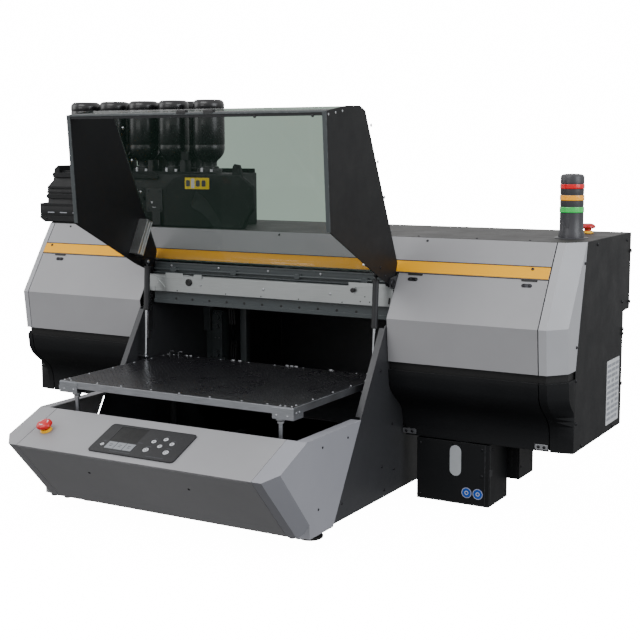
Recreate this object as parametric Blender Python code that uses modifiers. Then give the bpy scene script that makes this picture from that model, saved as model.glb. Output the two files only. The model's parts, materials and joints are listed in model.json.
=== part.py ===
"""Flatbed UV printer: bed, lifting table, gantry, tilting hood, wings and ink station.

Every dimension is in millimetres from the datum: X from the bed's centre line, Y back from
the bed's front edge, Z up from the bed's underside. to_world() turns it into metres on the floor.
"""
import math

import bmesh
import bpy
from mathutils import Matrix, Vector

for leftover in list(bpy.data.objects):
    bpy.data.objects.remove(leftover, do_unlink=True)

# ---- driving dimensions ----
MM = 0.001
GAP = 0.5                      # running gap between neighbouring covers
SEAM = 1.3                     # open seam beside the console and the wing doors
SHEET = 2.5                    # thickness of the formed covers
PLATE = 3.0                    # thickness of the flat steel plates
BED_HALF = 393.0
PLATE_HALF = 384.0             # outer face of the side plates, inside the bed covers
BED_DEPTH = 1134.0
FOOT_HEIGHT = 36.0
RIM_Z = 226.8
CONSOLE_FRONT = (-155.7, 164.9)
CONSOLE_BACK = (-8.0, RIM_Z)
CONSOLE_HALF = 338.0
BED_TOE = (-8.0, 0.0)          # where the front slope meets the bed's underside
WING_RIGHT = 837.0
WING_LEFT = -856.0
WING_BOTTOM = 141.5
COVER_TOP = 648.7
WING_BACK = 937.0
WING_BACK_LOWER = 883.0
BACK_STEP_Z = 446.0
BACK_STEP_LOW = 443.0
DOOR_INNER = 385.5
SEAM_RIGHT = 779.0
SEAM_LEFT = -801.0
INK_LEFT = -888.0
TABLE_HALF = 344.7
TABLE_FRONT = 12.3
TABLE_BACK = 460.0
TABLE_TOP = 295.7
POST_X = 302.0
POST_ROWS = (27.0, 430.0)
HOOD_HINGE = (428.0, 539.0)
HOOD_HALF = 379.5
STRUT_X = 356.0
STRUT_TOP = (393.0, 563.0)
STRUT_FOOT = (376.0, 300.0)
STRUT_BORE = 4.4
ROD_REACH = 165.0              # from the foot's eye to the rod's end inside the tube
TUBE_REACH = 135.0             # from the head's eye to the tube's open end
TOWER = (762.0, 667.0)
TOWER_RADIUS = 29.5
TOP_STOP = (745.0, 851.0)
FRONT_STOP = (-300.0, 70.0)    # along X, and up the console's slope
BOTTLE_RADIUS = 45.0
RACK_TOP = 800.0
BOTTLE_TOP = 1010.0

# The origin is the middle of the floor under the whole machine.
DATUM = Vector((-(INK_LEFT + WING_RIGHT) / 2, -(BED_DEPTH + CONSOLE_FRONT[0]) / 2, FOOT_HEIGHT))
TO_WORLD = Matrix.Diagonal((MM, MM, MM, 1.0)) @ Matrix.Translation(DATUM)

# Local frame of the console's sloping top: X across, U up the slope, N out of the face.
SLOPE = math.atan2(CONSOLE_BACK[1] - CONSOLE_FRONT[1], CONSOLE_BACK[0] - CONSOLE_FRONT[0])
CONSOLE_FRAME = Matrix.Translation((0, *CONSOLE_FRONT)) @ Matrix.Rotation(SLOPE, 4, "X")


def make_collection(name):
    """Return a new collection linked to the scene."""
    collection = bpy.data.collections.new(name)
    bpy.context.scene.collection.children.link(collection)
    return collection


PARTS = make_collection("flatbed_printer")
CUTTERS = make_collection("cutters")


def make_material(name, color, roughness, metallic=0.0, alpha=1.0):
    """Return a Principled material."""
    material = bpy.data.materials.new(name)
    material.use_nodes = True
    shader = material.node_tree.nodes["Principled BSDF"]
    shader.inputs["Base Color"].default_value = (*color, 1.0)
    shader.inputs["Roughness"].default_value = roughness
    shader.inputs["Metallic"].default_value = metallic
    shader.inputs["Alpha"].default_value = alpha
    return material


FINISHES = {
    "grey_cover": ((0.42, 0.42, 0.43), 0.45, 0.0, 1.0),
    "black_cover": ((0.025, 0.026, 0.03), 0.5, 0.0, 1.0),
    "black_steel": ((0.03, 0.031, 0.035), 0.5, 0.0, 1.0),
    "accent_yellow": ((0.75, 0.42, 0.03), 0.4, 0.0, 1.0),
    "bare_aluminium": ((0.6, 0.6, 0.61), 0.35, 1.0, 1.0),
    "bright_steel": ((0.65, 0.66, 0.68), 0.25, 1.0, 1.0),
    "table_black": ((0.02, 0.02, 0.022), 0.4, 0.0, 1.0),
    "hood_glass": ((0.5, 0.58, 0.54), 0.05, 0.0, 0.35),
    "bottle_black": ((0.02, 0.02, 0.022), 0.35, 0.0, 1.0),
    "stop_red": ((0.6, 0.02, 0.04), 0.35, 0.0, 1.0),
    "key_grey": ((0.5, 0.51, 0.52), 0.4, 0.0, 1.0),
    "panel_black": ((0.03, 0.03, 0.035), 0.3, 0.0, 1.0),
    "tower_grey": ((0.05, 0.05, 0.055), 0.4, 0.0, 1.0),
}
MATERIALS = {name: make_material(name, *finish) for name, finish in FINISHES.items()}


def to_mesh(name, bm, frame):
    """Place a bmesh in the world, face it outward and return it as a mesh."""
    bm.transform(TO_WORLD @ (frame or Matrix.Identity(4)))
    bmesh.ops.recalc_face_normals(bm, faces=bm.faces)
    closed = all(edge.is_manifold for edge in bm.edges)
    if closed and bm.calc_volume(signed=True) < 0:
        bmesh.ops.reverse_faces(bm, faces=bm.faces)
    mesh = bpy.data.meshes.new(name)
    bm.to_mesh(mesh)
    bm.free()
    return mesh


def add_part(name, bm, finish, pivot=None, frame=None):
    """Turn a bmesh in datum millimetres into a named part; pivot is the empty that carries it."""
    mesh = to_mesh(name, bm, frame)
    part = bpy.data.objects.new(name, mesh)
    part.data.materials.append(MATERIALS[finish])
    PARTS.objects.link(part)
    if pivot:
        part.parent = pivot
        part.matrix_parent_inverse = Matrix.Translation(pivot.location).inverted()
    return part


def add_pivot(name, x, y, z):
    """Add an empty on a joint's axis."""
    pivot = bpy.data.objects.new(name, None)
    pivot.empty_display_size = 0.03
    pivot.location = TO_WORLD @ Vector((x, y, z))
    PARTS.objects.link(pivot)
    return pivot


def add_cutter(name, bm, frame=None):
    """Turn a bmesh in datum millimetres into a hidden Boolean operand."""
    mesh = to_mesh(name, bm, frame)
    cutter = bpy.data.objects.new(name, mesh)
    cutter.hide_render = True
    cutter.display_type = "WIRE"
    CUTTERS.objects.link(cutter)
    return cutter


def combine(part, bm, operation="DIFFERENCE", frame=None):
    """Cut a bmesh out of a part, or join it on with UNION."""
    number = sum(1 for modifier in part.modifiers if modifier.type == "BOOLEAN")
    cutter = add_cutter(f"{part.name}_tool_{number}", bm, frame)
    modifier = part.modifiers.new(f"boolean_{number}", "BOOLEAN")
    modifier.operation = operation
    modifier.solver = "EXACT"
    modifier.object = cutter


def round_edges(part, width, segments=2, limit=30.0):
    """Round a part's sharp edges."""
    bevel = part.modifiers.new("bevel", "BEVEL")
    bevel.width = width * MM
    bevel.segments = segments
    bevel.limit_method = "ANGLE"
    bevel.angle_limit = math.radians(limit)


def thicken(part, thickness):
    """Give an open sheet its thickness, inward from the outer face."""
    solidify = part.modifiers.new("sheet", "SOLIDIFY")
    solidify.thickness = thickness * MM
    solidify.offset = -1.0
    solidify.use_even_offset = True


def box(low, high):
    """Return a bmesh box between two corners."""
    bm = bmesh.new()
    low = Vector(low)
    high = Vector(high)
    size = high - low
    place = Matrix.Translation((low + high) / 2) @ Matrix.Diagonal((*size, 1.0))
    bmesh.ops.create_cube(bm, size=1.0, matrix=place)
    return bm


def rod(start, end, radius, segments=24, end_radius=None):
    """Return a bmesh cylinder or cone between two points."""
    bm = bmesh.new()
    start = Vector(start)
    end = Vector(end)
    turn = (end - start).to_track_quat("Z", "Y").to_matrix().to_4x4()
    place = Matrix.Translation((start + end) / 2) @ turn
    bmesh.ops.create_cone(bm, cap_ends=True, segments=segments, radius1=radius,
                          radius2=radius if end_radius is None else end_radius,
                          depth=(end - start).length, matrix=place)
    return bm


# Where an outline's two coordinates and its thickness go, for each axis it is extruded along.
AXIS_MAPS = {
    "x": Matrix(((0, 0, 1, 0), (1, 0, 0, 0), (0, 1, 0, 0), (0, 0, 0, 1))),
    "y": Matrix(((1, 0, 0, 0), (0, 0, 1, 0), (0, 1, 0, 0), (0, 0, 0, 1))),
    "z": Matrix.Identity(4),
}


def outline(points, low, high, axis="x", closed=True, holes=()):
    """Extrude a flat outline between low and high along an axis; open ones give a bare sheet."""
    curve = bpy.data.curves.new("outline", "CURVE")
    curve.dimensions = "2D"
    curve.fill_mode = "BOTH" if closed else "NONE"
    curve.extrude = (high - low) / 2
    for loop in (points, *holes):
        spline = curve.splines.new("POLY")
        spline.points.add(len(loop) - 1)
        for point, (u, v) in zip(spline.points, loop):
            point.co = (u, v, 0.0, 1.0)
        spline.use_cyclic_u = closed
    holder = bpy.data.objects.new("outline", curve)
    CUTTERS.objects.link(holder)
    mesh = bpy.data.meshes.new_from_object(holder.evaluated_get(bpy.context.evaluated_depsgraph_get()))
    bm = bmesh.new()
    bm.from_mesh(mesh)
    bpy.data.objects.remove(holder, do_unlink=True)
    bpy.data.curves.remove(curve)
    bpy.data.meshes.remove(mesh)
    bmesh.ops.remove_doubles(bm, verts=bm.verts, dist=0.001)
    bmesh.ops.dissolve_limit(bm, angle_limit=math.radians(0.5), verts=bm.verts, edges=bm.edges)
    bm.transform(AXIS_MAPS[axis] @ Matrix.Translation((0, 0, (low + high) / 2)))
    return bm


def face_outward(part, outward):
    """Point an open sheet's faces the way of the outward vector, judged on its largest face."""
    bm = bmesh.new()
    bm.from_mesh(part.data)
    bm.faces.ensure_lookup_table()
    largest = max(bm.faces, key=lambda face: face.calc_area())
    if largest.normal.dot(Vector(outward)) < 0:
        bmesh.ops.reverse_faces(bm, faces=bm.faces)
    bm.to_mesh(part.data)
    bm.free()


def folded_sheet(name, profile, low, high, finish, outward, thickness=SHEET, pivot=None):
    """Make a folded cover from its outer Y-Z profile, running along X."""
    part = add_part(name, outline(profile, low, high, closed=False), finish, pivot)
    face_outward(part, outward)
    thicken(part, thickness)
    return part


def lofted_sheet(name, sections, finish, outward, thickness=SHEET):
    """Make a formed cover through unlike sections, each a list of points."""
    bm = bmesh.new()
    rows = [[bm.verts.new(point) for point in section] for section in sections]
    for row, following in zip(rows, rows[1:]):
        for index in range(len(row) - 1):
            bm.faces.new((row[index], row[index + 1], following[index + 1], following[index]))
    part = add_part(name, bm, finish)
    face_outward(part, outward)
    thicken(part, thickness)
    return part


def turned(name, profile, finish, steps=24, pivot=None, frame=None):
    """Turn a profile of radius and height, running down its outer side, about Z."""
    mesh = bpy.data.meshes.new(name)
    verts = [(radius * MM, 0.0, height * MM) for radius, height in profile]
    mesh.from_pydata(verts, [(i, i + 1) for i in range(len(verts) - 1)], [])
    part = bpy.data.objects.new(name, mesh)
    part.data.materials.append(MATERIALS[finish])
    PARTS.objects.link(part)
    place = TO_WORLD @ (frame or Matrix.Identity(4))
    part.matrix_basis = Matrix.Translation(place.translation) @ place.to_quaternion().to_matrix().to_4x4()
    if pivot:
        part.parent = pivot
        part.matrix_parent_inverse = Matrix.Translation(pivot.location).inverted()
    screw = part.modifiers.new("turn", "SCREW")
    screw.steps = steps
    screw.render_steps = steps
    screw.use_merge_vertices = True
    screw.merge_threshold = 0.00001
    screw.use_smooth_shade = True
    return part


def arc(center, radius, start, end, count):
    """Points on an arc, angles in degrees."""
    angles = [math.radians(start + (end - start) * step / count) for step in range(count + 1)]
    return [(center[0] + radius * math.cos(a), center[1] + radius * math.sin(a)) for a in angles]


# ---- bed ----
def build_bed():
    """The steel tub with its table rails and four levelling feet."""
    profile = [(4, RIM_Z - 8), (4, 0), (BED_DEPTH, 0), (BED_DEPTH, BACK_STEP_Z - GAP),
               (WING_BACK + 3, BACK_STEP_Z - GAP)]
    half = PLATE_HALF - PLATE - GAP
    tub = folded_sheet("base_tub", profile, -half, half, "black_steel", (0, 0, -1), PLATE)
    for side in (-1, 1):
        rail = box((side * 250 - 10, 20, PLATE - 1), (side * 250 + 10, BED_DEPTH - 30, 35))
        combine(tub, rail, "UNION")
        for y in (110, BED_DEPTH - 110):
            combine(tub, rod((side * 330, y, -FOOT_HEIGHT), (side * 330, y, 1), 24), "UNION")


def side_plate(name, side):
    """One black side plate: window for the print carriage, front flange, hood pin, strut stud."""
    edge = [(100, 0), (236, 221), (259, 221), (388, 430), (392, 436), (438, 440), (438, 526),
            (418, 526), (418, 552), (450, 555), (474, 558), (478, 570), (526, 642), (WING_BACK - 3, 642),
            (WING_BACK - 3, BACK_STEP_Z), (BED_DEPTH, BACK_STEP_Z), (BED_DEPTH, 0)]
    window = [(530, 450), (775, 450), (775, 632), (530, 632)]
    low, high = sorted((side * PLATE_HALF, side * (PLATE_HALF - PLATE)))
    plate = add_part(name, outline(edge, low, high, holes=[window]), "black_steel")
    flange = [(263.8, RIM_Z + 2), (388, 430), (390.6, 428.4), (266.8, RIM_Z + 2)]
    low, high = sorted((side * 368, side * (PLATE_HALF - 1)))
    combine(plate, outline(flange, low, high), "UNION")
    y, z = HOOD_HINGE
    combine(plate, rod((side * (HOOD_HALF + 0.6), y, z), (side * (PLATE_HALF - 1), y, z), 10), "UNION")
    combine(plate, rod((side * 370, y, z), (side * (HOOD_HALF + 2), y, z), 6), "UNION")
    y, z = STRUT_FOOT
    combine(plate, rod((side * (STRUT_X + 3.5), y, z), (side * (PLATE_HALF - 1), y, z), 4, 16), "UNION")


def corner_cover(name, side):
    """Grey formed corner of the bed: front strip, chamfer, side panel and top rim."""
    back, top = CONSOLE_BACK
    strip = [BED_TOE, (BED_TOE[0] - 4.5, 5), CONSOLE_FRONT, (back, top)]
    middle = [(0, 0), (0, 14), (-138, 172.5), (back, top)]
    corner = [(0, 0), (0, 34), (-123, 178.6), (back, top)]
    stations = ((CONSOLE_HALF + SEAM, strip), (364.6, strip), (380, middle), (BED_HALF, corner))
    sections = [[(side * x, *point) for point in section] for x, section in stations]
    cover = lofted_sheet(name, sections, "grey_cover", (0, -1, 0.2))
    panel = [*corner, (244.8, top), (107.8, 0)]
    low, high = sorted((side * (BED_HALF - SHEET), side * BED_HALF))
    combine(cover, outline(panel, low, high), "UNION")
    low, high = sorted((side * 366, side * BED_HALF))
    combine(cover, box((low, back - 1, top - SHEET), (high, 243.5, top)), "UNION")


def build_bed_covers():
    """Console, lower front cover and the two corner covers."""
    nose_y, nose_z = CONSOLE_FRONT
    back_y, back_z = CONSOLE_BACK
    console = folded_sheet("console_cover", [(nose_y, nose_z), (back_y, back_z), (back_y, back_z - 18)],
                           -CONSOLE_HALF, CONSOLE_HALF, "grey_cover", (0, -0.4, 0.9))
    stem = rod((FRONT_STOP[0], FRONT_STOP[1], -20), (FRONT_STOP[0], FRONT_STOP[1], 20), 11.5)
    combine(console, stem, frame=CONSOLE_FRAME)
    lower = [(nose_y + 4.3, nose_z - 4.8), BED_TOE, (3, 0)]
    folded_sheet("front_lower_cover", lower, -CONSOLE_HALF, CONSOLE_HALF, "grey_cover", (0, -1, -1))
    for name, side in (("corner_cover_left", -1), ("corner_cover_right", 1)):
        corner_cover(name, side)
    for name, side in (("side_plate_left", -1), ("side_plate_right", 1)):
        side_plate(name, side)


# ---- operator panel ----
BEZEL = (-131.0, 18.5, 117.0, 128.5)
BEZEL_CORNER = 9.0
BEZEL_TOP = 3.4
KEY_TOP = 4.2
KEY_BOTTOM = 1.3
KEY_SIDES = 16
ROUND_KEYS = {"power_key": (-106, 47, 5), "enter_key": (21, 49, 7.5), "stop_key": (78, 50, 7.5),
              "left_arrow_key": (22, 82, 6), "right_arrow_key": (74, 82, 6),
              "up_arrow_key": (48, 95.5, 6), "down_arrow_key": (48, 68.5, 6)}
FUNCTION_KEYS = {"function_key_1": -92.5, "function_key_2": -66.0, "function_key_3": -39.5}
FUNCTION_KEY_WIDTH = 25.0


def console_pivot(name, x, u):
    """Add an empty on the console's slope, where a key or button is pressed."""
    pivot = add_pivot(name, 0, 0, 0)
    pivot.location = TO_WORLD @ CONSOLE_FRAME @ Vector((x, u, 0))
    return pivot


def build_panel():
    """Bezel with a display recess, and the keys that travel in its pockets."""
    left, low, right, high = BEZEL
    corners = ((right, low, 270), (right, high, 0), (left, high, 90), (left, low, 180))
    edge = []
    for x, u, start in corners:
        center = (x - math.copysign(BEZEL_CORNER, x), u + (BEZEL_CORNER if u == low else -BEZEL_CORNER))
        edge += arc(center, BEZEL_CORNER, start, start + 90, 4)
    bezel = add_part("panel_bezel", outline(edge, 0.4, BEZEL_TOP, "z"), "panel_black",
                     frame=CONSOLE_FRAME)
    combine(bezel, box((-97, 65, BEZEL_TOP - 0.8), (-18, 121, 6)), frame=CONSOLE_FRAME)
    for name, left in FUNCTION_KEYS.items():
        right = left + FUNCTION_KEY_WIDTH
        pocket = box((left - 0.4, 34.6, -2), (right + 0.4, 61.4, 8))
        combine(bezel, pocket, frame=CONSOLE_FRAME)
        pivot = console_pivot(f"{name}_axis", (left + right) / 2, 48)
        key = add_part(name, box((left, 35, KEY_BOTTOM), (right, 61, KEY_TOP)), "key_grey", pivot,
                       CONSOLE_FRAME)
        round_edges(key, 0.5, 1)
    for name, (x, u, radius) in ROUND_KEYS.items():
        combine(bezel, rod((x, u, -2), (x, u, 8), radius + 0.4, KEY_SIDES), frame=CONSOLE_FRAME)
        pivot = console_pivot(f"{name}_axis", x, u)
        key = add_part(name, rod((x, u, KEY_BOTTOM), (x, u, KEY_TOP), radius, KEY_SIDES),
                       "key_grey", pivot, CONSOLE_FRAME)
        round_edges(key, 0.5, 1)


def stop_button(name, frame, pivot):
    """Emergency stop: a mushroom head on a stem through the cover."""
    profile = [(0, 25.5), (9, 25), (15.5, 23), (20, 18.5), (20, 15), (16, 12), (9.5, 11),
               (9.5, -14), (0, -14)]
    turned(name, profile, "stop_red", 20, pivot, frame)


# ---- table ----
def build_table():
    """Carriage on the rails, and the lifting table on its four posts."""
    slide = add_pivot("table_slide_axis", 0, 235, 48)
    carriage = add_part("table_carriage", box((-330, 13, 60), (330, 452, 72)), "black_steel", slide)
    lift = add_pivot("table_lift_axis", 0, 235, TABLE_TOP - 25)
    lift.parent = slide
    lift.matrix_parent_inverse = Matrix.Translation(slide.location).inverted()
    posts = [(side * POST_X, y) for side in (-1, 1) for y in POST_ROWS]
    for x, y in posts:
        combine(carriage, rod((x, y, 64), (x, y, 205), 11, 16), "UNION")
    for side in (-1, 1):
        for y in (80, 380):
            block = box((side * 250 - 20, y - 35, 35.5), (side * 250 + 20, y + 35, 61))
            combine(carriage, block, "UNION")
    for x, y in posts:
        combine(carriage, rod((x, y, 40), (x, y, 230), 5.4, 16))
    floor = TABLE_TOP - 18
    tray = add_part("table_frame", box((-TABLE_HALF, TABLE_FRONT, floor),
                                       (TABLE_HALF, TABLE_BACK, TABLE_TOP - 0.8)), "bare_aluminium", lift)
    pocket_low = (-TABLE_HALF + 3, TABLE_FRONT + 3, floor + 3)
    combine(tray, box(pocket_low, (TABLE_HALF - 3, TABLE_BACK - 3, TABLE_TOP + 5)))
    for x, y in posts:
        combine(tray, rod((x, y, 42), (x, y, floor + 1), 5, 16), "UNION")
    plate = add_part("table_plate", box((-TABLE_HALF + 3.4, TABLE_FRONT + 3.4, floor + 3.4),
                                        (TABLE_HALF - 3.4, TABLE_BACK - 3.4, TABLE_TOP)),
                     "table_black", lift)
    round_edges(plate, 0.6, 1)


# ---- gantry ----
def build_gantry():
    """The cross beam with its rail, the print carriage, and the beams over the throat."""
    beam_hole = [(664, 524), (756, 524), (756, 596), (664, 596)]
    beam_edge = [(660, 520), (760, 520), (760, 600), (660, 600)]
    beam = add_part("gantry_beam", outline(beam_edge, WING_LEFT + 20, WING_RIGHT - 20, holes=[beam_hole]),
                    "bare_aluminium")
    combine(beam, box((WING_LEFT + 24, 648, 550), (WING_RIGHT - 24, 661, 566)), "UNION")
    parked = add_pivot("carriage_slide_axis", 605, 654, 558)
    carriage = add_part("print_carriage", box((515, 546, 470), (695, 647.4, 628)), "black_cover", parked)
    combine(carriage, box((530, 552, 452), (680, 640, 471)), "UNION")
    combine(carriage, box((462, 556, 462), (516, 636, 590)), "UNION")
    apron = [(437, 524), (428, 524), (428, 478), (436, 476)]
    folded_sheet("apron_bar", apron, -384.3, 384.3, "bare_aluminium", (0, -1, 0), 2)
    front = [(462, 557), (446, 557), (446, 530), (441, 526), (441, 446), (470, 446)]
    folded_sheet("front_beam", front, -370, 370, "black_steel", (0, -1, 0), 2)


# ---- long covers ----
FRONT_SLOPE = ((479.6, 591.4), (461.0, 564.0))


def build_long_covers():
    """Upper front cover, accent stripe, top cover and rear cover, each the full width."""
    upper = [(517.4, COVER_TOP), *FRONT_SLOPE, (468, 562)]
    left = SEAM_LEFT + SEAM
    right = SEAM_RIGHT - SEAM
    folded_sheet("upper_front_cover", upper, left, right, "grey_cover", (0, -1, 0.5), 2)
    (top_y, top_z), (low_y, low_z) = FRONT_SLOPE
    down = Vector((low_y - top_y, low_z - top_z)).normalized()
    out = Vector((down.y, -down.x)) * 1.9
    stripe = [(top_y + out.x, top_z + out.y), (low_y - down.x + out.x, low_z - down.y + out.y)]
    folded_sheet("accent_stripe", stripe, left, right, "accent_yellow", (0, -1, 0.5), 1.4)
    plan = [(WING_LEFT + 3.5, WING_BACK - 3), (WING_LEFT + 3.5, 570), (-818, 523), (797, 523),
            (WING_RIGHT - 3.5, 570), (WING_RIGHT - 3.5, WING_BACK - 3)]
    top = add_part("top_cover", outline(plan, COVER_TOP - 2, COVER_TOP, "z"), "black_cover")
    combine(top, rod((*TOP_STOP, 600), (*TOP_STOP, 700), 11.5))
    back = [(WING_BACK - 60, COVER_TOP - 3), (WING_BACK, COVER_TOP - 3), (WING_BACK, BACK_STEP_Z + 2)]
    folded_sheet("rear_cover", back, WING_LEFT + 3.5, WING_RIGHT - 3.5, "black_cover", (0, 1, 0), 2)


# ---- wings ----
# Lower front of a wing: the grey nose, then the black part that curves back in.
WING_NOSE = [(461.0, 562.3), (392.3, 454), (402.6, 345.3), (405, 315), (409, 285), (417, 270),
             (429, 257), (444, 245), (460, 233), (473, 221), (482, 208), (487, 190), (490, 165),
             (490, WING_BOTTOM)]
CHAMFER = (37.0, 48.0)
DOOR_RELIEF = 166.0             # top of the notch that lets a swinging door pass the corner cover
SIDE_FRONT = 500.0
SIDE_BORDER = [(550, 562.3), (523.5, 454), *[(SIDE_FRONT, z) for y, z in WING_NOSE[2:]]]


def end_cap(name, side, seam, outer):
    """Formed end of a wing: front strip, chamfer and the return along the side."""
    front = [(517.4, COVER_TOP), (479.6, 591.4), *WING_NOSE]
    fold = [(y + CHAMFER[1], z) for y, z in front if z > 270]
    fold += [(y + min(CHAMFER[1], SIDE_FRONT - 3 - y), z) for y, z in front if z <= 270]
    border = [(568.5, COVER_TOP), (557, 591.4), *SIDE_BORDER]
    stations = ((seam + side * SEAM, front), (outer - side * CHAMFER[0], front), (outer, fold),
                (outer, border))
    sections = [[(x, *point) for point in section] for x, section in stations]
    lofted_sheet(name, sections, "grey_cover", (side * 0.5, -1, 0.2))


def wing(side, outer, seam):
    """One wing: hinged front door, end cap, side panel and the pan under it."""
    word = "right" if side > 0 else "left"
    end_cap(f"end_cap_{word}", side, seam, outer)
    low, high = sorted((side * DOOR_INNER, seam - side * SEAM))
    hinge = add_pivot(f"door_{word}_axis", (low + high) / 2, 462, 560.5)
    door = folded_sheet(f"door_{word}", WING_NOSE, low, high, "grey_cover", (0, -1, 0), SHEET, hinge)
    low, high = sorted((side * (DOOR_INNER - 1), side * (BED_HALF + GAP)))
    combine(door, box((low, 480, WING_BOTTOM - 10), (high, 500, DOOR_RELIEF)))
    edge = [(568.9, COVER_TOP), (557.5, 591.4), *[(y + 0.5, z) for y, z in SIDE_BORDER],
            (WING_BACK_LOWER, WING_BOTTOM), (WING_BACK_LOWER, BACK_STEP_LOW), (WING_BACK, BACK_STEP_Z),
            (WING_BACK, COVER_TOP)]
    low, high = sorted((outer - side * SHEET, outer))
    add_part(f"side_panel_{word}", outline(edge, low, high), "black_cover")
    pan = [(WING_BACK, BACK_STEP_Z), (WING_BACK_LOWER, BACK_STEP_LOW), (WING_BACK_LOWER, WING_BOTTOM),
           (506, WING_BOTTOM), (506, WING_BOTTOM + 20)]
    low, high = sorted((side * DOOR_INNER, outer - side * 3))
    part = folded_sheet(f"wing_pan_{word}", pan, low, high, "black_cover", (0, 1, 0), 2)
    if side > 0:
        combine(part, box((530, 608, 28), (659, 709, WING_BOTTOM + 1)), "UNION")


def build_wings():
    """Both wings, with the waste ink box and the power inlet of the right one."""
    wing(1, WING_RIGHT, SEAM_RIGHT)
    wing(-1, WING_LEFT, SEAM_LEFT)
    waste = add_part("waste_ink_box", box((430, 480, -18), (628, 605, WING_BOTTOM - GAP)), "black_cover")
    combine(waste, box((432.5, 482.5, -15.5), (625.5, 602.5, WING_BOTTOM + 10)))
    combine(waste, box((524, 470, 52), (550, 490, 134)))
    inlet = add_part("power_inlet", box((770, WING_BACK_LOWER + 0.4, 300), (830, 895, 345)), "black_cover")
    combine(inlet, box((780, 885, 308), (820, 900, 337)))


# ---- ink station ----
FRONT_BOTTLES = (-748.0, -637.0, -528.0, -420.0, -296.0)
BACK_BOTTLES = (-690.0, -580.0, -432.0)
FRONT_ROW = 612.0
BACK_ROW = 710.0
NECK_DEPTH = 26.0
RACK_FACE_BACK = 560.0
RACK_RIGHT = -236.0             # right end of the rack's body; its face plate runs on past it


def build_ink_station():
    """Stepped ink rack on the top cover, with eight inverted bottles standing in its sockets."""
    low = COVER_TOP + 0.4
    left_end = [(-870, low), (INK_LEFT, 659), (INK_LEFT, 706), (-856, 709), (-856, 757), (-832, 776),
                (-826, RACK_TOP)]
    face_end = [(-152, RACK_TOP), (-137, 790), (-106, 768), (-106, 703), (-124, 682), (-139, low)]
    rack = add_part("ink_rack", outline(left_end + face_end, 548, 768, "y"), "black_cover")
    combine(rack, box((RACK_RIGHT, RACK_FACE_BACK, low - 10), (-90, 780, RACK_TOP + 10)))
    round_edges(rack, 2.0, 1)
    places = [(x, FRONT_ROW) for x in FRONT_BOTTLES] + [(x, BACK_ROW) for x in BACK_BOTTLES]
    profile = [(0, BOTTLE_TOP), *arc((BOTTLE_RADIUS - 12, BOTTLE_TOP - 12), 12, 90, 0, 2),
               *arc((BOTTLE_RADIUS - 30, 868), 30, 0, -50, 2), (21, 836), (21, 802), (17, 801),
               (17, RACK_TOP - NECK_DEPTH), (0, RACK_TOP - NECK_DEPTH)]
    for number, (x, y) in enumerate(places, 1):
        socket = rod((x, y, RACK_TOP - NECK_DEPTH - 2), (x, y, RACK_TOP + 10), 18, 16)
        combine(rack, socket)
        pivot = add_pivot(f"ink_bottle_{number}_axis", x, y, RACK_TOP)
        turned(f"ink_bottle_{number}", profile, "bottle_black", 16, pivot,
               Matrix.Translation((x, y, 0)))


# ---- hood ----
HOOD_LIP = (107.5, 947.5)
HOOD_FRONT = (106.0, 958.0)
HOOD_CREST = [(200, 971.5), (264, 973)]
HOOD_CREST_BACK = (291.0, 962.0)
HOOD_HEEL = (464.5, 586.0)


def build_hood():
    """Tilting hood, drawn open: two sides, the front bar and the folded window."""
    hinge = add_pivot("hood_axis", 0, *HOOD_HINGE)
    edge = [HOOD_FRONT, *HOOD_CREST, HOOD_CREST_BACK, HOOD_HEEL, (459, 569), (455, 560), (444, 528),
            (418, 529), (414, 540), (400, 545), (362, 561), (124, 683)]
    channel = [(340, 590), (387, 680), (409, 672), (366, 582)]
    for name, side in (("hood_side_left", -1), ("hood_side_right", 1)):
        low, high = sorted((side * (HOOD_HALF - PLATE), side * HOOD_HALF))
        panel = add_part(name, outline(edge, low, high), "black_cover", hinge)
        low, high = sorted((side * 348, side * (HOOD_HALF - 1)))
        combine(panel, outline(channel, low, high), "UNION")
        stud = rod((side * (STRUT_X + 3.6), *STRUT_TOP), (side * (HOOD_HALF - 1), *STRUT_TOP), 4, 16)
        combine(panel, stud, "UNION")
        hole = rod((side * 360, *HOOD_HINGE), (side * 390, *HOOD_HINGE), 6.4)
        combine(panel, hole)
    half = HOOD_HALF - PLATE - GAP
    bar = [HOOD_LIP, HOOD_FRONT, (132, 961.7)]
    folded_sheet("hood_front_bar", bar, -half, half, "black_cover", (0, 0, 1), 2, hinge)
    window = [(135, 961.1), *[(y, z - 1) for y, z in HOOD_CREST]]
    window += [(y - 1, z - 0.6) for y, z in (HOOD_CREST_BACK, HOOD_HEEL, (459, 569), (454, 561.8))]
    folded_sheet("hood_window", window, -half + 1, half - 1, "hood_glass", (0, 1, 0.4), 5, hinge)


def strut(side):
    """One gas strut: the rod turns on the side plate's stud, the tube slides on the rod."""
    word = "right" if side > 0 else "left"
    foot = Vector((side * STRUT_X, *STRUT_FOOT))
    head = Vector((side * STRUT_X, *STRUT_TOP))
    along = (head - foot).normalized()
    eye = Vector((3, 0, 0))
    turn = add_pivot(f"strut_{word}_axis", *foot)
    shaft = add_part(f"strut_rod_{word}", rod(foot - eye, foot + eye, 8, 20), "bright_steel", turn)
    combine(shaft, rod(foot + along * 5, foot + along * ROD_REACH, 4, 16), "UNION")
    slide = add_pivot(f"strut_tube_{word}_axis", *head)
    slide.parent = turn
    slide.matrix_parent_inverse = Matrix.Translation(turn.location).inverted()
    tube = add_part(f"strut_tube_{word}", rod(head - along * TUBE_REACH, head - along * 14, 8, 20),
                    "black_steel", slide)
    combine(tube, rod(head - eye, head + eye, 8, 20), "UNION")
    combine(tube, rod(head - along * 16, head - along * 5, 3, 12), "UNION")
    combine(tube, rod(head - along * (TUBE_REACH + 5), head - along * 30, STRUT_BORE, 16))


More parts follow.
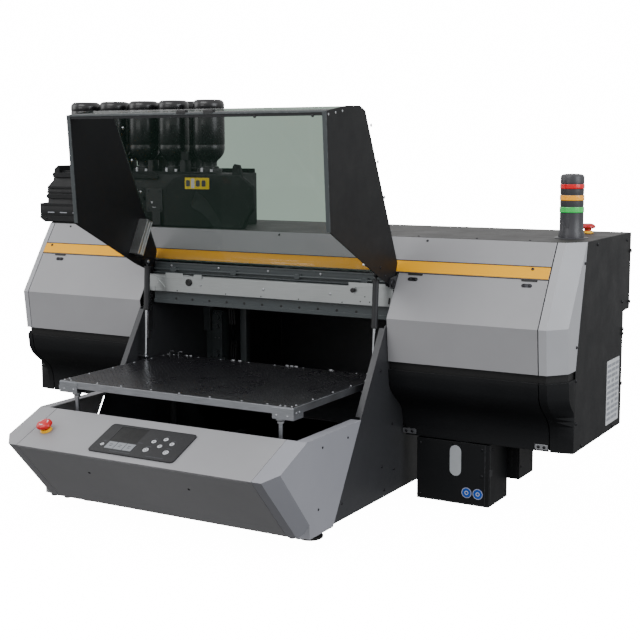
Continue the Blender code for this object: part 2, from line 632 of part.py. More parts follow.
def build_signal_tower():
    """Signal tower on the top cover: flared foot, straight body and three lamp bands."""
    low = COVER_TOP + 0.4
    bands = (714, 726, 744, 755, 773, 782)
    body = TOWER_RADIUS
    band = TOWER_RADIUS + 0.8
    profile = [(0, 809), (body - 5, 808), (body, 803)]
    for top, bottom in zip(bands[::-2], bands[-2::-2]):
        profile += [(body, top + 1), (band, top), (band, bottom), (body, bottom - 1)]
    profile += [(body, 662), (body + 2.5, 659), (body + 2.5, low), (0, low)]
    turned("signal_tower", profile, "tower_grey", 20, frame=Matrix.Translation((*TOWER, 0)))


build_bed()
build_bed_covers()
build_panel()
front_place = CONSOLE_FRAME @ Matrix.Translation((*FRONT_STOP, 0))
stop_button("stop_button_front", front_place, console_pivot("stop_button_front_axis", *FRONT_STOP))
top_place = Matrix.Translation((*TOP_STOP, COVER_TOP))
stop_button("stop_button_top", top_place, add_pivot("stop_button_top_axis", *TOP_STOP, COVER_TOP))
build_table()
build_gantry()
build_long_covers()
build_wings()
build_ink_station()
build_hood()
strut(-1)
strut(1)
build_signal_tower()
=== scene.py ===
"""Looks of the flatbed UV printer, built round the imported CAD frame."""
import json
import math

import bmesh
import bpy
from mathutils import Matrix, Vector

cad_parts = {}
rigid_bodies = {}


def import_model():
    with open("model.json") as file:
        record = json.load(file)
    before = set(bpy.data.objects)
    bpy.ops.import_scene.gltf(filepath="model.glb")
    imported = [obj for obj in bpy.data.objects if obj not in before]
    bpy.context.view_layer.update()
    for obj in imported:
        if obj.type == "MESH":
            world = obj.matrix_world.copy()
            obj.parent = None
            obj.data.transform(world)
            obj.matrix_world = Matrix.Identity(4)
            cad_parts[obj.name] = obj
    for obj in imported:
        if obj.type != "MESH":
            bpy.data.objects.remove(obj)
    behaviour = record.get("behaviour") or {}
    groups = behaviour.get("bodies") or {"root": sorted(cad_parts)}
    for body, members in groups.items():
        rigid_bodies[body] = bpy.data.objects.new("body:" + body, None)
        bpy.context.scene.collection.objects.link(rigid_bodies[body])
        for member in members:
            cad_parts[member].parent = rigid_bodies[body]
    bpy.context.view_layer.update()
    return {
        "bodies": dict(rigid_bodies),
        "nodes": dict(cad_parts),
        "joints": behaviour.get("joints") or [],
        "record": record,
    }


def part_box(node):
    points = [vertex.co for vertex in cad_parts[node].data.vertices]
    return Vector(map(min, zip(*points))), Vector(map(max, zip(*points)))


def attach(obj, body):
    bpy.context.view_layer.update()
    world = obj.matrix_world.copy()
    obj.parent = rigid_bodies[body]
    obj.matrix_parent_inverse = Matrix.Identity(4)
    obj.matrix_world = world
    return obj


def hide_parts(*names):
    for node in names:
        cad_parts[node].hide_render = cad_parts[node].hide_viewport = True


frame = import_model()
NODES = frame["nodes"]
MM = 0.001
UP = (0, 0, 1)
FRONT = (0, -1, 0)
REAR = (0, 1, 0)
WELD_DISTANCE = 0.00002
FLAT_ANGLE = math.radians(0.6)

# ---- datum: the same one as the CAD, on the bed's centre line, front edge and underside ----
TABLE_LOW, TABLE_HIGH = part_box("table_plate")
FOOT_HEIGHT = 0.036
BED_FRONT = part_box("base_tub")[0].y - 4 * MM
DATUM = Vector(((TABLE_LOW.x + TABLE_HIGH.x) / 2, BED_FRONT, FOOT_HEIGHT))
SCALE = Matrix.Diagonal((MM, MM, MM, 1.0))
TO_WORLD = Matrix.Translation(DATUM) @ SCALE


def at(x, y, z):
    """A point in metres from millimetres off the datum."""
    return TO_WORLD @ Vector((x, y, z))


# Local frame of the console's slope: X across, U up the slope, N out of the face.
NOSE = Vector((0.0, -155.7, 164.9))
RIM = Vector((0.0, -8.0, 226.8))
SLOPE = math.atan2(RIM.z - NOSE.z, RIM.y - NOSE.y)
CONSOLE = Matrix.Translation(NOSE) @ Matrix.Rotation(SLOPE, 4, "X")


# =====================================================================================
# Materials
# =====================================================================================
def srgb(red, green, blue):
    """Linear colour from eight-bit sRGB values."""
    def linear(value):
        value /= 255.0
        return value / 12.92 if value <= 0.04045 else ((value + 0.055) / 1.055) ** 2.4
    return (linear(red), linear(green), linear(blue), 1.0)


def shaded(color, factor):
    """The colour made darker or lighter."""
    return (*(min(1.0, channel * factor) for channel in color[:3]), 1.0)


class Nodes:
    """Short hand for building one material's node tree."""

    def __init__(self, name):
        self.material = bpy.data.materials.new(name)
        self.material.use_nodes = True
        self.tree = self.material.node_tree
        self.shader = self.tree.nodes["Principled BSDF"]
        self.place = self.add("ShaderNodeTexCoord").outputs["Object"]

    def add(self, kind, **settings):
        node = self.tree.nodes.new(kind)
        for key, value in settings.items():
            setattr(node, key, value)
        return node

    def link(self, source, target):
        self.tree.links.new(source, target)

    def noise(self, scale, detail=4.0, roughness=0.55, stretch=None):
        """Noise in object space, stretched along an axis for brushed metal."""
        node = self.add("ShaderNodeTexNoise")
        node.inputs["Scale"].default_value = scale
        node.inputs["Detail"].default_value = detail
        node.inputs["Roughness"].default_value = roughness
        source = self.place
        if stretch:
            mapping = self.add("ShaderNodeMapping")
            mapping.inputs["Scale"].default_value = stretch
            self.link(source, mapping.inputs["Vector"])
            source = mapping.outputs["Vector"]
        self.link(source, node.inputs["Vector"])
        return node.outputs["Fac"]

    def remap(self, source, low, high, to_low, to_high):
        """Map a value from one range to another."""
        node = self.add("ShaderNodeMapRange")
        for index, value in enumerate((low, high, to_low, to_high), 1):
            node.inputs[index].default_value = value
        self.link(source, node.inputs[0])
        return node.outputs["Result"]

    def mix(self, factor, first, second):
        """Mix two colours by a factor; a colour may be a constant or an output."""
        node = self.add("ShaderNodeMix", data_type="RGBA")
        self.link(factor, node.inputs[0])
        for value, socket in ((first, node.inputs[6]), (second, node.inputs[7])):
            if isinstance(value, tuple):
                socket.default_value = value
            else:
                self.link(value, socket)
        return node.outputs[2]

    def bump(self, height, strength, distance, normal=None):
        node = self.add("ShaderNodeBump")
        node.inputs["Strength"].default_value = strength
        node.inputs["Distance"].default_value = distance
        self.link(height, node.inputs["Height"])
        if normal:
            self.link(normal, node.inputs["Normal"])
        return node.outputs["Normal"]

    def color(self, value):
        self.link(value, self.shader.inputs["Base Color"])

    def rough(self, value):
        self.link(value, self.shader.inputs["Roughness"])

    def normal(self, value):
        self.link(value, self.shader.inputs["Normal"])

    def set(self, **values):
        for key, value in values.items():
            self.shader.inputs[key.replace("_", " ")].default_value = value


def edge_wear_and_highlight_mask(nodes, width=0.002):
    """A mask that is high along edges, broken up by noise; the lighter edge colour stands for wear and also
    paints edge highlights.
    """
    bevel = nodes.add("ShaderNodeBevel", samples=4)
    bevel.inputs["Radius"].default_value = width
    geometry = nodes.add("ShaderNodeNewGeometry")
    dot = nodes.add("ShaderNodeVectorMath", operation="DOT_PRODUCT")
    nodes.link(bevel.outputs["Normal"], dot.inputs[0])
    nodes.link(geometry.outputs["Normal"], dot.inputs[1])
    edge = nodes.remap(dot.outputs["Value"], 0.99, 0.8, 0.0, 1.0)
    broken = nodes.remap(nodes.noise(90, 3), 0.45, 0.65, 0.0, 1.0)
    both = nodes.add("ShaderNodeMath", operation="MULTIPLY")
    nodes.link(edge, both.inputs[0])
    nodes.link(broken, both.inputs[1])
    return both.outputs[0]


def paint(name, color, rough=0.45, grain=1400.0, grain_depth=0.12, mottle=0.06, wear_and_highlight=None,
          shine=0.5):
    """Sprayed paint or powder coat: fine orange peel, faint mottling and dust, and edges lightened for wear
    and as painted edge highlights.
    """
    nodes = Nodes(name)
    cloud = nodes.remap(nodes.noise(5.5, 5), 0.3, 0.7, 0.0, 1.0)
    body = nodes.mix(cloud, shaded(color, 1 - mottle), shaded(color, 1 + mottle))
    speck = nodes.remap(nodes.noise(grain * 0.6, 2), 0.35, 0.65, 0.0, 1.0)
    body = nodes.mix(speck, body, nodes.mix(cloud, shaded(color, 0.93), shaded(color, 1.05)))
    # Lighter edges: partly wear, partly painted highlight along the edges.
    if wear_and_highlight:
        body = nodes.mix(edge_wear_and_highlight_mask(nodes), body, wear_and_highlight)
    nodes.color(body)
    smear = nodes.noise(14, 6, 0.65)
    nodes.rough(nodes.remap(smear, 0.3, 0.7, rough - 0.06, rough + 0.07))
    peel = nodes.bump(nodes.noise(grain, 2), grain_depth, 0.0004)
    nodes.normal(nodes.bump(nodes.noise(60, 2), 0.03, 0.001, peel))
    nodes.set(Specular_IOR_Level=shine)
    return nodes.material


def metal(name, color, rough=0.3, stretch=(1, 1, 1), scale=900.0, depth=0.1, mottle=0.1):
    """Drawn or brushed metal with fine lines along one axis."""
    nodes = Nodes(name)
    lines = nodes.noise(scale, 3, 0.6, stretch)
    cloud = nodes.noise(11, 4)
    tone = nodes.remap(lines, 0.3, 0.7, 0.0, 1.0)
    body = nodes.mix(tone, shaded(color, 1 - mottle), shaded(color, 1 + mottle))
    stain = nodes.remap(cloud, 0.35, 0.7, 0.0, 1.0)
    body = nodes.mix(stain, body, nodes.mix(tone, shaded(color, 0.86), color))
    nodes.color(body)
    nodes.rough(nodes.remap(cloud, 0.3, 0.7, rough - 0.05, rough + 0.09))
    nodes.normal(nodes.bump(lines, depth, 0.0003))
    nodes.set(Metallic=1.0)
    return nodes.material


def plastic(name, color, rough=0.4, grain=2200.0, depth=0.1, mottle=0.08, coat=0.0, emission=None):
    """Moulded plastic with a spark-eroded grain and handling marks."""
    nodes = Nodes(name)
    cloud = nodes.remap(nodes.noise(18, 5), 0.3, 0.7, 0.0, 1.0)
    nodes.color(nodes.mix(cloud, shaded(color, 1 - mottle), shaded(color, 1 + mottle)))
    nodes.rough(nodes.remap(nodes.noise(35, 6, 0.7), 0.3, 0.7, rough - 0.07, rough + 0.09))
    nodes.normal(nodes.bump(nodes.noise(grain, 2), depth, 0.0003))
    nodes.set(Coat_Weight=coat, Coat_Roughness=0.1)
    if emission:
        nodes.set(Emission_Color=color, Emission_Strength=emission)
    return nodes.material


def glass(name, color, alpha, rough=0.03):
    """Tinted sheet glass: a dark film that lets part of the light straight through."""
    nodes = Nodes(name)
    cloud = nodes.remap(nodes.noise(4, 3), 0.3, 0.7, 0.0, 1.0)
    nodes.color(nodes.mix(cloud, shaded(color, 0.9), shaded(color, 1.1)))
    nodes.rough(nodes.remap(nodes.noise(9, 6, 0.7), 0.35, 0.7, rough, rough + 0.05))
    nodes.link(nodes.remap(nodes.noise(3, 2), 0.3, 0.7, alpha - 0.015, alpha + 0.015),
               nodes.shader.inputs["Alpha"])
    nodes.set(Specular_IOR_Level=0.6, Coat_Weight=0.4, Coat_Roughness=0.02)
    return nodes.material


GREY = paint("grey_paint", srgb(150, 150, 153), 0.42, wear_and_highlight=srgb(176, 176, 178), mottle=0.025)
# The right corner cover's grey, paler and bluer than the same paint on the left: painted light on the right
# side.
LIT_SIDE_GREY_PAINTED = paint("grey_paint_lit_side", srgb(150, 151, 158), 0.42, wear_and_highlight=srgb(176, 176, 178),
                  mottle=0.025)
BLACK = paint("black_textured_paint", srgb(20, 21, 23), 0.5, 1000, 0.25, wear_and_highlight=srgb(50, 51, 54),
              shine=0.25)
STEEL_BLACK = paint("black_steel_paint", srgb(30, 31, 34), 0.46, 1300, 0.15,
                    wear_and_highlight=srgb(72, 72, 76))
# The tub and its side plates: black steel paint made lighter as painted fill light for the shaded throat.
TUB_BLACK_PAINTED_FILL = paint("tub_paint_with_painted_fill_light", srgb(52, 53, 56), 0.42, 1300, 0.15, wear_and_highlight=srgb(92, 92, 96))
# The end caps' grey, lighter and bluer than the doors' paint: painted light on the caps.
PAINTED_LIGHT_CAP_GREY = paint("grey_paint_caps_lit", srgb(166, 167, 171), 0.42, wear_and_highlight=srgb(186, 186, 188), mottle=0.025)
TOP_GREY = paint("top_cover_paint", srgb(40, 39, 38), 0.55, 1100, 0.2, wear_and_highlight=srgb(90, 90, 92))
# Near-black: the colour of some dark parts, and painted shade in the door recesses, beside the stripe and
# inside the beam's holes.
DARK_AND_PAINTED_SHADE = paint("dark_parts_and_painted_shade", srgb(14, 14, 15), 0.6, 900, 0.2)
YELLOW = paint("accent_yellow", srgb(255, 180, 0), 0.5, wear_and_highlight=srgb(240, 190, 60), mottle=0.02,
               shine=0.2)
RAIL = paint("rail_grey", srgb(62, 68, 70), 0.4, 1300, 0.12, wear_and_highlight=srgb(120, 124, 126))
ALUMINIUM = metal("anodised_aluminium", srgb(186, 190, 190), 0.34, (0.02, 1, 1))
RIM_METAL = metal("galvanised_rim", srgb(172, 175, 180), 0.36, (0.05, 1, 1), 700, 0.2, 0.22)
BRIGHT = metal("bright_steel", srgb(205, 208, 212), 0.2, (1, 1, 0.05), 1200, 0.06)
SCREW = metal("black_oxide_screw", srgb(60, 60, 63), 0.38, (1, 1, 1), 1600, 0.1)
ZINC = metal("zinc_fixing", srgb(190, 192, 196), 0.3, (1, 1, 1), 1600, 0.1)
TABLE_PAINT = paint("table_coating", srgb(26, 26, 29), 0.3, 1600, 0.12, wear_and_highlight=srgb(60, 60, 64))
PLASTIC = plastic("black_plastic", srgb(24, 24, 26), 0.42)
BOTTLE = plastic("bottle_plastic", srgb(25, 25, 27), 0.27, 1800, 0.08, coat=0.15)
BEZEL = plastic("panel_overlay", srgb(36, 36, 38), 0.5, 2600, 0.12)
DISPLAY = plastic("display_glass", srgb(6, 6, 7), 0.45, 3000, 0.01)
KEY = plastic("key_plastic", srgb(196, 198, 202), 0.4)
FUNCTION_KEY = plastic("function_key_plastic", srgb(134, 137, 142), 0.45)
KEY_MARK = plastic("key_mark", srgb(66, 68, 74), 0.45)
# Pale plastic for printed marks and tabs, also used for painted glints on the rack's latch.
PALE_MARK_AND_PAINTED_GLINT = plastic("pale_mark_and_painted_glint", srgb(208, 210, 214), 0.45)
RED = plastic("stop_red", srgb(196, 0, 14), 0.32, 1500, 0.05, coat=0.2)
COLLAR = plastic("stop_collar_yellow", srgb(250, 190, 10), 0.4)
TOWER = plastic("tower_plastic", srgb(60, 60, 64), 0.36, 1500, 0.15)
LAMP_RED = plastic("lamp_red", srgb(214, 4, 20), 0.14, 900, 0.1, coat=0.8, emission=0.25)
LAMP_AMBER = plastic("lamp_amber", srgb(255, 170, 0), 0.14, 900, 0.1, coat=0.8, emission=0.25)
LAMP_GREEN = plastic("lamp_green", srgb(30, 190, 80), 0.14, 900, 0.1, coat=0.8, emission=0.25)
PAPER = plastic("label_paper", srgb(205, 207, 210), 0.5, 1200, 0.05)
# Grey of the label's printed bars, also used for painted highlights on the rack.
PRINT_GREY_AND_PAINTED_HIGHLIGHT = plastic("label_print_and_painted_highlight", srgb(146, 149, 156), 0.5, 1200, 0.05)
YELLOW_LABEL = plastic("label_yellow", srgb(232, 206, 22), 0.4, 1200, 0.05)
BLUE_LABEL = plastic("label_blue", srgb(8, 74, 172), 0.4, 1200, 0.05)
FLUID = plastic("waste_bottle_plastic", srgb(96, 100, 106), 0.4, 900, 0.05)
BELT = plastic("drive_belt_rubber", srgb(40, 42, 44), 0.6, 700, 0.4)
PANE = plastic("waste_pane", srgb(172, 176, 180), 0.35, 900, 0.05)
WINDOW_GLASS = glass("hood_glass", srgb(40, 62, 52), 0.3)


# =====================================================================================
# Shapes, as bmeshes in datum millimetres
# =====================================================================================
def box(low, high):
    """A box between two corners."""
    bm = bmesh.new()
    low = Vector(low)
    high = Vector(high)
    place = Matrix.Translation((low + high) / 2) @ Matrix.Diagonal((*(high - low), 1.0))
    bmesh.ops.create_cube(bm, size=1.0, matrix=place)
    return bm


def rod(start, end, radius, segments=24, end_radius=None):
    """A cylinder or cone between two points."""
    bm = bmesh.new()
    start = Vector(start)
    end = Vector(end)
    turn = (end - start).to_track_quat("Z", "Y").to_matrix().to_4x4()
    bmesh.ops.create_cone(bm, cap_ends=True, segments=segments, radius1=radius,
                          radius2=radius if end_radius is None else end_radius,
                          depth=(end - start).length,
                          matrix=Matrix.Translation((start + end) / 2) @ turn)
    return bm


def toward(place, direction):
    """A frame at a point with its Z along a direction."""
    turn = Vector(direction).to_track_quat("Z", "Y").to_matrix().to_4x4()
    return Matrix.Translation(place) @ turn


def lathe(profile, steps=24, frame=None):
    """Turn a profile of radius and height about Z."""
    bm = bmesh.new()
    rings = []
    for radius, height in profile:
        if radius == 0:
            rings.append([bm.verts.new((0, 0, height))])
            continue
        angles = [math.tau * step / steps for step in range(steps)]
        rings.append([bm.verts.new((radius * math.cos(a), radius * math.sin(a), height))
                      for a in angles])
    for first, second in zip(rings, rings[1:]):
        for here in range(steps):
            following = (here + 1) % steps
            if len(first) == 1 and len(second) == 1:
                continue
            if len(first) == 1:
                corners = (first[0], second[here], second[following])
            elif len(second) == 1:
                corners = (first[here], second[0], first[following])
            else:
                corners = (first[here], second[here], second[following], first[following])
            bm.faces.new(corners)
    if frame:
        bm.transform(frame)
    return bm


AXIS_MAPS = {
    "x": Matrix(((0, 0, 1, 0), (1, 0, 0, 0), (0, 1, 0, 0), (0, 0, 0, 1))),
    "y": Matrix(((1, 0, 0, 0), (0, 0, 1, 0), (0, 1, 0, 0), (0, 0, 0, 1))),
    "z": Matrix.Identity(4),
}


def prism(points, low, high, axis="x", frame=None):
    """Extrude a closed outline between low and high along an axis."""
    bm = bmesh.new()
    bottom = [bm.verts.new((u, v, low)) for u, v in points]
    top = [bm.verts.new((u, v, high)) for u, v in points]
    bm.faces.new(bottom)
    bm.faces.new(reversed(top))
    count = len(points)
    for here in range(count):
        following = (here + 1) % count
        bm.faces.new((bottom[here], top[here], top[following], bottom[following]))
    bm.transform((frame or Matrix.Identity(4)) @ AXIS_MAPS[axis])
    return bm


def strip(path, thickness):
    """The closed outline of a folded strip that follows an open path, to the left of it."""
    points = [Vector(point) for point in path]
    offset = []
    for index, point in enumerate(points):
        before = (point - points[index - 1]).normalized() if index else None
        after = (points[index + 1] - point).normalized() if index < len(points) - 1 else None
        before = before or after
        after = after or before
        side = Vector((-before.y, before.x)) + Vector((-after.y, after.x))
        side.normalize()
        square = Vector((-before.y, before.x))
        offset.append(point + side * thickness / max(0.3, side.dot(square)))
    return [tuple(point) for point in points] + [tuple(point) for point in reversed(offset)]


def stadium(length, width, count=8):
    """An outline with round ends, its length along the first axis."""
    radius = width / 2
    reach = length / 2 - radius
    points = []
    for center, start in ((reach, -90), (-reach, 90)):
        for step in range(count + 1):
            angle = math.radians(start + 180 * step / count)
            points.append((center + radius * math.cos(angle), radius * math.sin(angle)))
    return points


def rounded(low, high, radius, count=5):
    """A rectangle's outline with round corners."""
    points = []
    corners = ((high[0] - radius, low[1] + radius, -90), (high[0] - radius, high[1] - radius, 0),
               (low[0] + radius, high[1] - radius, 90), (low[0] + radius, low[1] + radius, 180))
    for x, y, start in corners:
        for step in range(count + 1):
            angle = math.radians(start + 90 * step / count)
            points.append((x + radius * math.cos(angle), y + radius * math.sin(angle)))
    return points


def ring_profile(inner, outer, low, high):
    """The profile of a square-edged ring, for the lathe."""
    return [(inner, low), (outer, low), (outer, high), (inner, high), (inner, low)]


def screw(place, normal, radius=4.0, height=2.2):
    """A button-head screw with a hexagon socket."""
    head = lathe([(0, -0.3), (radius, -0.3), (radius, height * 0.45), (radius * 0.86, height * 0.8),
                  (radius * 0.6, height), (radius * 0.42, height), (radius * 0.36, height * 0.3),
                  (0, height * 0.3)], 12)
    head.transform(toward(place, normal))
    return head


def tube(points, radius, sides=10):
    """A bent round bar through points."""
    bm = bmesh.new()
    path = [Vector(point) for point in points]
    rings = []
    for index, point in enumerate(path):
        ahead = path[min(index + 1, len(path) - 1)] - path[max(index - 1, 0)]
        frame = toward(point, ahead)
        rings.append([bm.verts.new(frame @ Vector((radius * math.cos(math.tau * k / sides),
                                                   radius * math.sin(math.tau * k / sides), 0)))
                      for k in range(sides)])
    for first, second in zip(rings, rings[1:]):
        for here in range(sides):
            following = (here + 1) % sides
            bm.faces.new((first[here], first[following], second[following], second[here]))
    bm.faces.new(reversed(rings[0]))
    bm.faces.new(rings[-1])
    return bm


# =====================================================================================
# Pieces
# =====================================================================================
def finish_mesh(obj, bevel, segments, smooth):
    """Smooth shading with sharp folds kept, and rounded edges."""
    obj.data.shade_smooth()
    obj.data.set_sharp_from_angle(angle=math.radians(smooth))
    if bevel:
        rounding = obj.modifiers.new("rounding", "BEVEL")
        rounding.width = bevel * MM
        rounding.segments = segments
        rounding.limit_method = "ANGLE"
        rounding.angle_limit = math.radians(28)
        rounding.harden_normals = True


def mesh_object(name, bm, material):
    """An object of one material from a bmesh in metres."""
    mesh = bpy.data.meshes.new(name)
    bm.to_mesh(mesh)
    bm.free()
    obj = bpy.data.objects.new(name, mesh)
    bpy.context.scene.collection.objects.link(obj)
    mesh.materials.append(material)
    return obj


def piece(name, parts, material, body="machine", bevel=0.0, segments=2,
          smooth=32, frame=None, replaces=()):
    """Join bmeshes in datum millimetres into one visible piece that rides on a body."""
    bm = bmesh.new()
    flat = []
    for part in parts:
        flat += part if isinstance(part, list) else [part]
    for part in flat:
        bmesh.ops.recalc_face_normals(part, faces=part.faces)
        if part.calc_volume(signed=True) < 0:
            bmesh.ops.reverse_faces(part, faces=part.faces)
        holder = bpy.data.meshes.new("part")
        part.to_mesh(holder)
        part.free()
        bm.from_mesh(holder)
        bpy.data.meshes.remove(holder)
    bm.transform(TO_WORLD @ (frame or Matrix.Identity(4)))
    obj = mesh_object(name, bm, material)
    finish_mesh(obj, bevel, segments, smooth)
    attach(obj, body)
    if replaces:
        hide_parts(*replaces)


def dress(node, material, bevel=0.8, segments=2, smooth=32):
    """Give a CAD node its finish and rounded edges."""
    obj = NODES[node]
    obj.data.materials.clear()
    obj.data.materials.append(material)
    if "custom_normal" in obj.data.attributes:
        obj.data.attributes.remove(obj.data.attributes["custom_normal"])
    weld = obj.modifiers.new("weld", "WELD")
    weld.merge_threshold = WELD_DISTANCE
    flatten = obj.modifiers.new("flatten", "DECIMATE")
    flatten.decimate_type = "DISSOLVE"
    flatten.angle_limit = FLAT_ANGLE
    finish_mesh(obj, bevel, segments, smooth)


def slice_node(node, name, low, high, material, body, shift=(0, 0, 0), bevel=0.8):
    """A copy of the part of a CAD node between two heights, closed at the cuts."""
    bm = bmesh.new()
    bm.from_mesh(NODES[node].data)
    bmesh.ops.remove_doubles(bm, verts=bm.verts, dist=WELD_DISTANCE)
    bmesh.ops.dissolve_limit(bm, angle_limit=FLAT_ANGLE, verts=bm.verts, edges=bm.edges)
    for height, clear_above in ((low, False), (high, True)):
        if height is None:
            continue
        everything = bm.verts[:] + bm.edges[:] + bm.faces[:]
        bmesh.ops.bisect_plane(bm, geom=everything, plane_co=at(0, 0, height),
                               plane_no=UP, clear_outer=clear_above,
                               clear_inner=not clear_above)
        rim = [edge for edge in bm.edges if edge.is_boundary]
        bmesh.ops.holes_fill(bm, edges=rim)
    bmesh.ops.translate(bm, verts=bm.verts, vec=Vector(shift) * MM)
    bmesh.ops.recalc_face_normals(bm, faces=bm.faces)
    obj = mesh_object(name, bm, material)
    finish_mesh(obj, bevel, 2, 32)
    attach(obj, body)
    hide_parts(node)


# =====================================================================================
# CAD nodes that keep their shape
# =====================================================================================
FINISHES = {
    "base_tub": (TUB_BLACK_PAINTED_FILL, 1.0), "side_plate_left": (TUB_BLACK_PAINTED_FILL, 0.8),
    "side_plate_right": (TUB_BLACK_PAINTED_FILL, 0.8), "corner_cover_left": (GREY, 1.0),
    "corner_cover_right": (LIT_SIDE_GREY_PAINTED, 1.0), "console_cover": (GREY, 0.9),
    "front_lower_cover": (GREY, 0.9), "panel_bezel": (BEZEL, 0.7), "gantry_beam": (ALUMINIUM, 1.5),
    "apron_bar": (ALUMINIUM, 0.7), "front_beam": (RAIL, 0.7), "upper_front_cover": (GREY, 0.8),
    "accent_stripe": (YELLOW, 0.5), "top_cover": (TOP_GREY, 0.8), "rear_cover": (BLACK, 0.8),
    "side_panel_left": (BLACK, 0.8), "side_panel_right": (BLACK, 0.8), "wing_pan_left": (BLACK, 0.8),
    "wing_pan_right": (BLACK, 0.8), "waste_ink_box": (BLACK, 0.8), "power_inlet": (PLASTIC, 1.0),
    "ink_rack": (BLACK, 0.0), "table_carriage": (STEEL_BLACK, 1.0), "table_frame": (RIM_METAL, 0.6),
    "print_carriage": (BLACK, 2.0), "hood_side_left": (BLACK, 0.8), "hood_side_right": (BLACK, 0.8),
    "hood_front_bar": (STEEL_BLACK, 0.6), "hood_window": (WINDOW_GLASS, 0.0),
    "strut_rod_left": (BRIGHT, 0.4), "strut_rod_right": (BRIGHT, 0.4),
    "strut_tube_left": (STEEL_BLACK, 0.6), "strut_tube_right": (STEEL_BLACK, 0.6),
    "stop_button_front": (RED, 0.0), "stop_button_top": (RED, 0.0),
}
KEYS = ("power_key", "function_key_1", "function_key_2", "function_key_3", "left_arrow_key",
        "right_arrow_key", "up_arrow_key", "down_arrow_key", "enter_key", "stop_key")
for name, (material, bevel) in FINISHES.items():
    dress(name, material, bevel)
for name in KEYS:
    dress(name, FUNCTION_KEY if name.startswith("function") else KEY, 0.3)
NODES["hood_window"].visible_shadow = False


# =====================================================================================
# Bed: fixings, feet, and what lies in the tub under the table
# =====================================================================================
BED_DEPTH = 1134.0
BED_HALF = 393.0
PLATE_HALF = 384.0
POST_X = 302.0
POST_ROWS = (27.0, 430.0)


def build_bed():
    """Screws, levelling feet, knobs and hems of the bed."""
    lower_normal = Vector((0, -164.9, -147.7))
    screws = [screw((x, -104.1, 107.4), lower_normal, 3.4, 1.4) for x in (-155.7, 136.4)]
    for side in (-1, 1):
        for y, z in ((363.3, 326.8), (372.5, 81.3), (386.3, 17.9), (430, 405), (430, 180), (440, 60)):
            screws.append(screw((side * PLATE_HALF, y, z), (side, 0, 0), 3.6, 1.8))
        for y, z in ((180, 198), (60, 200), (150, 45), (40, 60)):
            screws.append(screw((side * BED_HALF, y, z), (side, 0, 0), 3.0, 1.2))
    piece("bed_screws", screws, SCREW)
    feet = []
    for side in (-1, 1):
        for y in (110, BED_DEPTH - 110):
            feet.append(lathe([(0, -35.9), (28, -35.9), (31, -33), (31, -29), (26, -26), (13, -25),
                               (13, -15), (0, -15)], 28, Matrix.Translation((side * 330, y, 0))))
            feet.append(lathe([(0, -15), (20, -15), (20, -8), (0, -8)], 6,
                              Matrix.Translation((side * 330, y, 0))))
    piece("levelling_feet", feet, PLASTIC, bevel=0.8)
    knobs = []
    for x, y in ((-376, 14), (-332, 14), (338, 16), (353, 20), (366, 24)):
        knobs.append(lathe([(0, -9), (7, -9), (9, -7), (9, -2), (5, 0), (5, 4), (0, 4)], 16,
                           Matrix.Translation((x, y, 0))))
    piece("under_bed_knobs", knobs, PLASTIC)
    hems = []
    for side in (-1, 1):
        low, high = sorted((side * 368, side * 389))
        hems.append(prism([(2, -1), (60, -1), (60, 3), (2, 3)], low, high))
    piece("bed_hems", hems, STEEL_BLACK)


def build_tub():
    """Rails, cross member, cable carrier and drive cover that show below the table."""
    rails = []
    for side in (-1, 1):
        rails.append(prism([(side * 250 - 12, 34.5), (side * 250 + 12, 34.5), (side * 250 + 12, 37),
                            (side * 250 - 12, 37)], 460, BED_DEPTH - 40, "y"))
    piece("rail_caps", rails, RAIL, bevel=0.5)
    beam = [prism([(176, 74), (212, 74), (212, 96), (206, 96), (206, 80), (182, 80), (182, 96), (176, 96)],
                  26, 446, "y"),
            box((170, 30, 72.4), (218, 70, 75)), box((170, 400, 72.4), (218, 440, 75))]
    piece("carriage_beam_right", beam, RAIL, "table_carriage", 0.8)
    left = [prism([(-206, 74), (-174, 74), (-174, 92), (-206, 92)], 26, 446, "y")]
    piece("carriage_beam_left", left, RAIL, "table_carriage", 1.2)
    links = []
    for step in range(24):
        y = 40 + step * 16.5
        links.append(prism(rounded((-262, 72.6), (-226, 94), 4, 3), y, y + 14.5, "y"))
    piece("cable_carrier_table", links, BELT, "table_carriage", 0.8)
    cover = [prism(rounded((-120, 110), (80, 330), 10, 4), 72.4, 84, "z"),
             prism(rounded((-100, 130), (60, 310), 8, 4), 84, 86, "z")]
    piece("lift_drive_cover", cover, BLACK, "table_carriage", 1.0)
    fixings = []
    for x in (-112, 72):
        for y in (118, 220, 322):
            fixings.append(screw((x, y, 84), UP, 3.2, 1.8))
    for x in (182, 206):
        for y in (36, 64, 406, 434):
            fixings.append(screw((x, y, 75), UP, 2.8, 1.6))
    for x in (-318, 318):
        for y in (100, 180, 260, 340):
            fixings.append(screw((x, y, 72), UP, 3.2, 1.8))
    piece("carriage_screws", fixings, ZINC, "table_carriage")
    collars = []
    for x in (-POST_X, POST_X):
        for y in POST_ROWS:
            collars.append(lathe([(11.3, 72), (17, 72), (17, 80), (14.5, 83), (11.3, 83), (11.3, 72)],
                                 28, Matrix.Translation((x, y, 0))))
    piece("post_collars", collars, ZINC, "table_carriage", 0.4)


build_bed()
build_tub()


# =====================================================================================
# Operator panel and emergency stops
# =====================================================================================
BEZEL_TOP = 3.4
KEY_TOP = 4.2
KEY_PLACES = {"power_key": (-106, 47, 5), "enter_key": (21, 49, 7.5), "stop_key": (78, 50, 7.5),
              "left_arrow_key": (22, 82, 6), "right_arrow_key": (74, 82, 6),
              "up_arrow_key": (48, 95.5, 6), "down_arrow_key": (48, 68.5, 6)}
FUNCTION_KEY_HALF = 12.5
FUNCTION_KEYS = {"function_key_1": -92.5, "function_key_2": -66.0, "function_key_3": -39.5}
FRONT_STOP = (-300.0, 70.0)
TOP_STOP = (745.0, 851.0)
COVER_TOP = 648.7


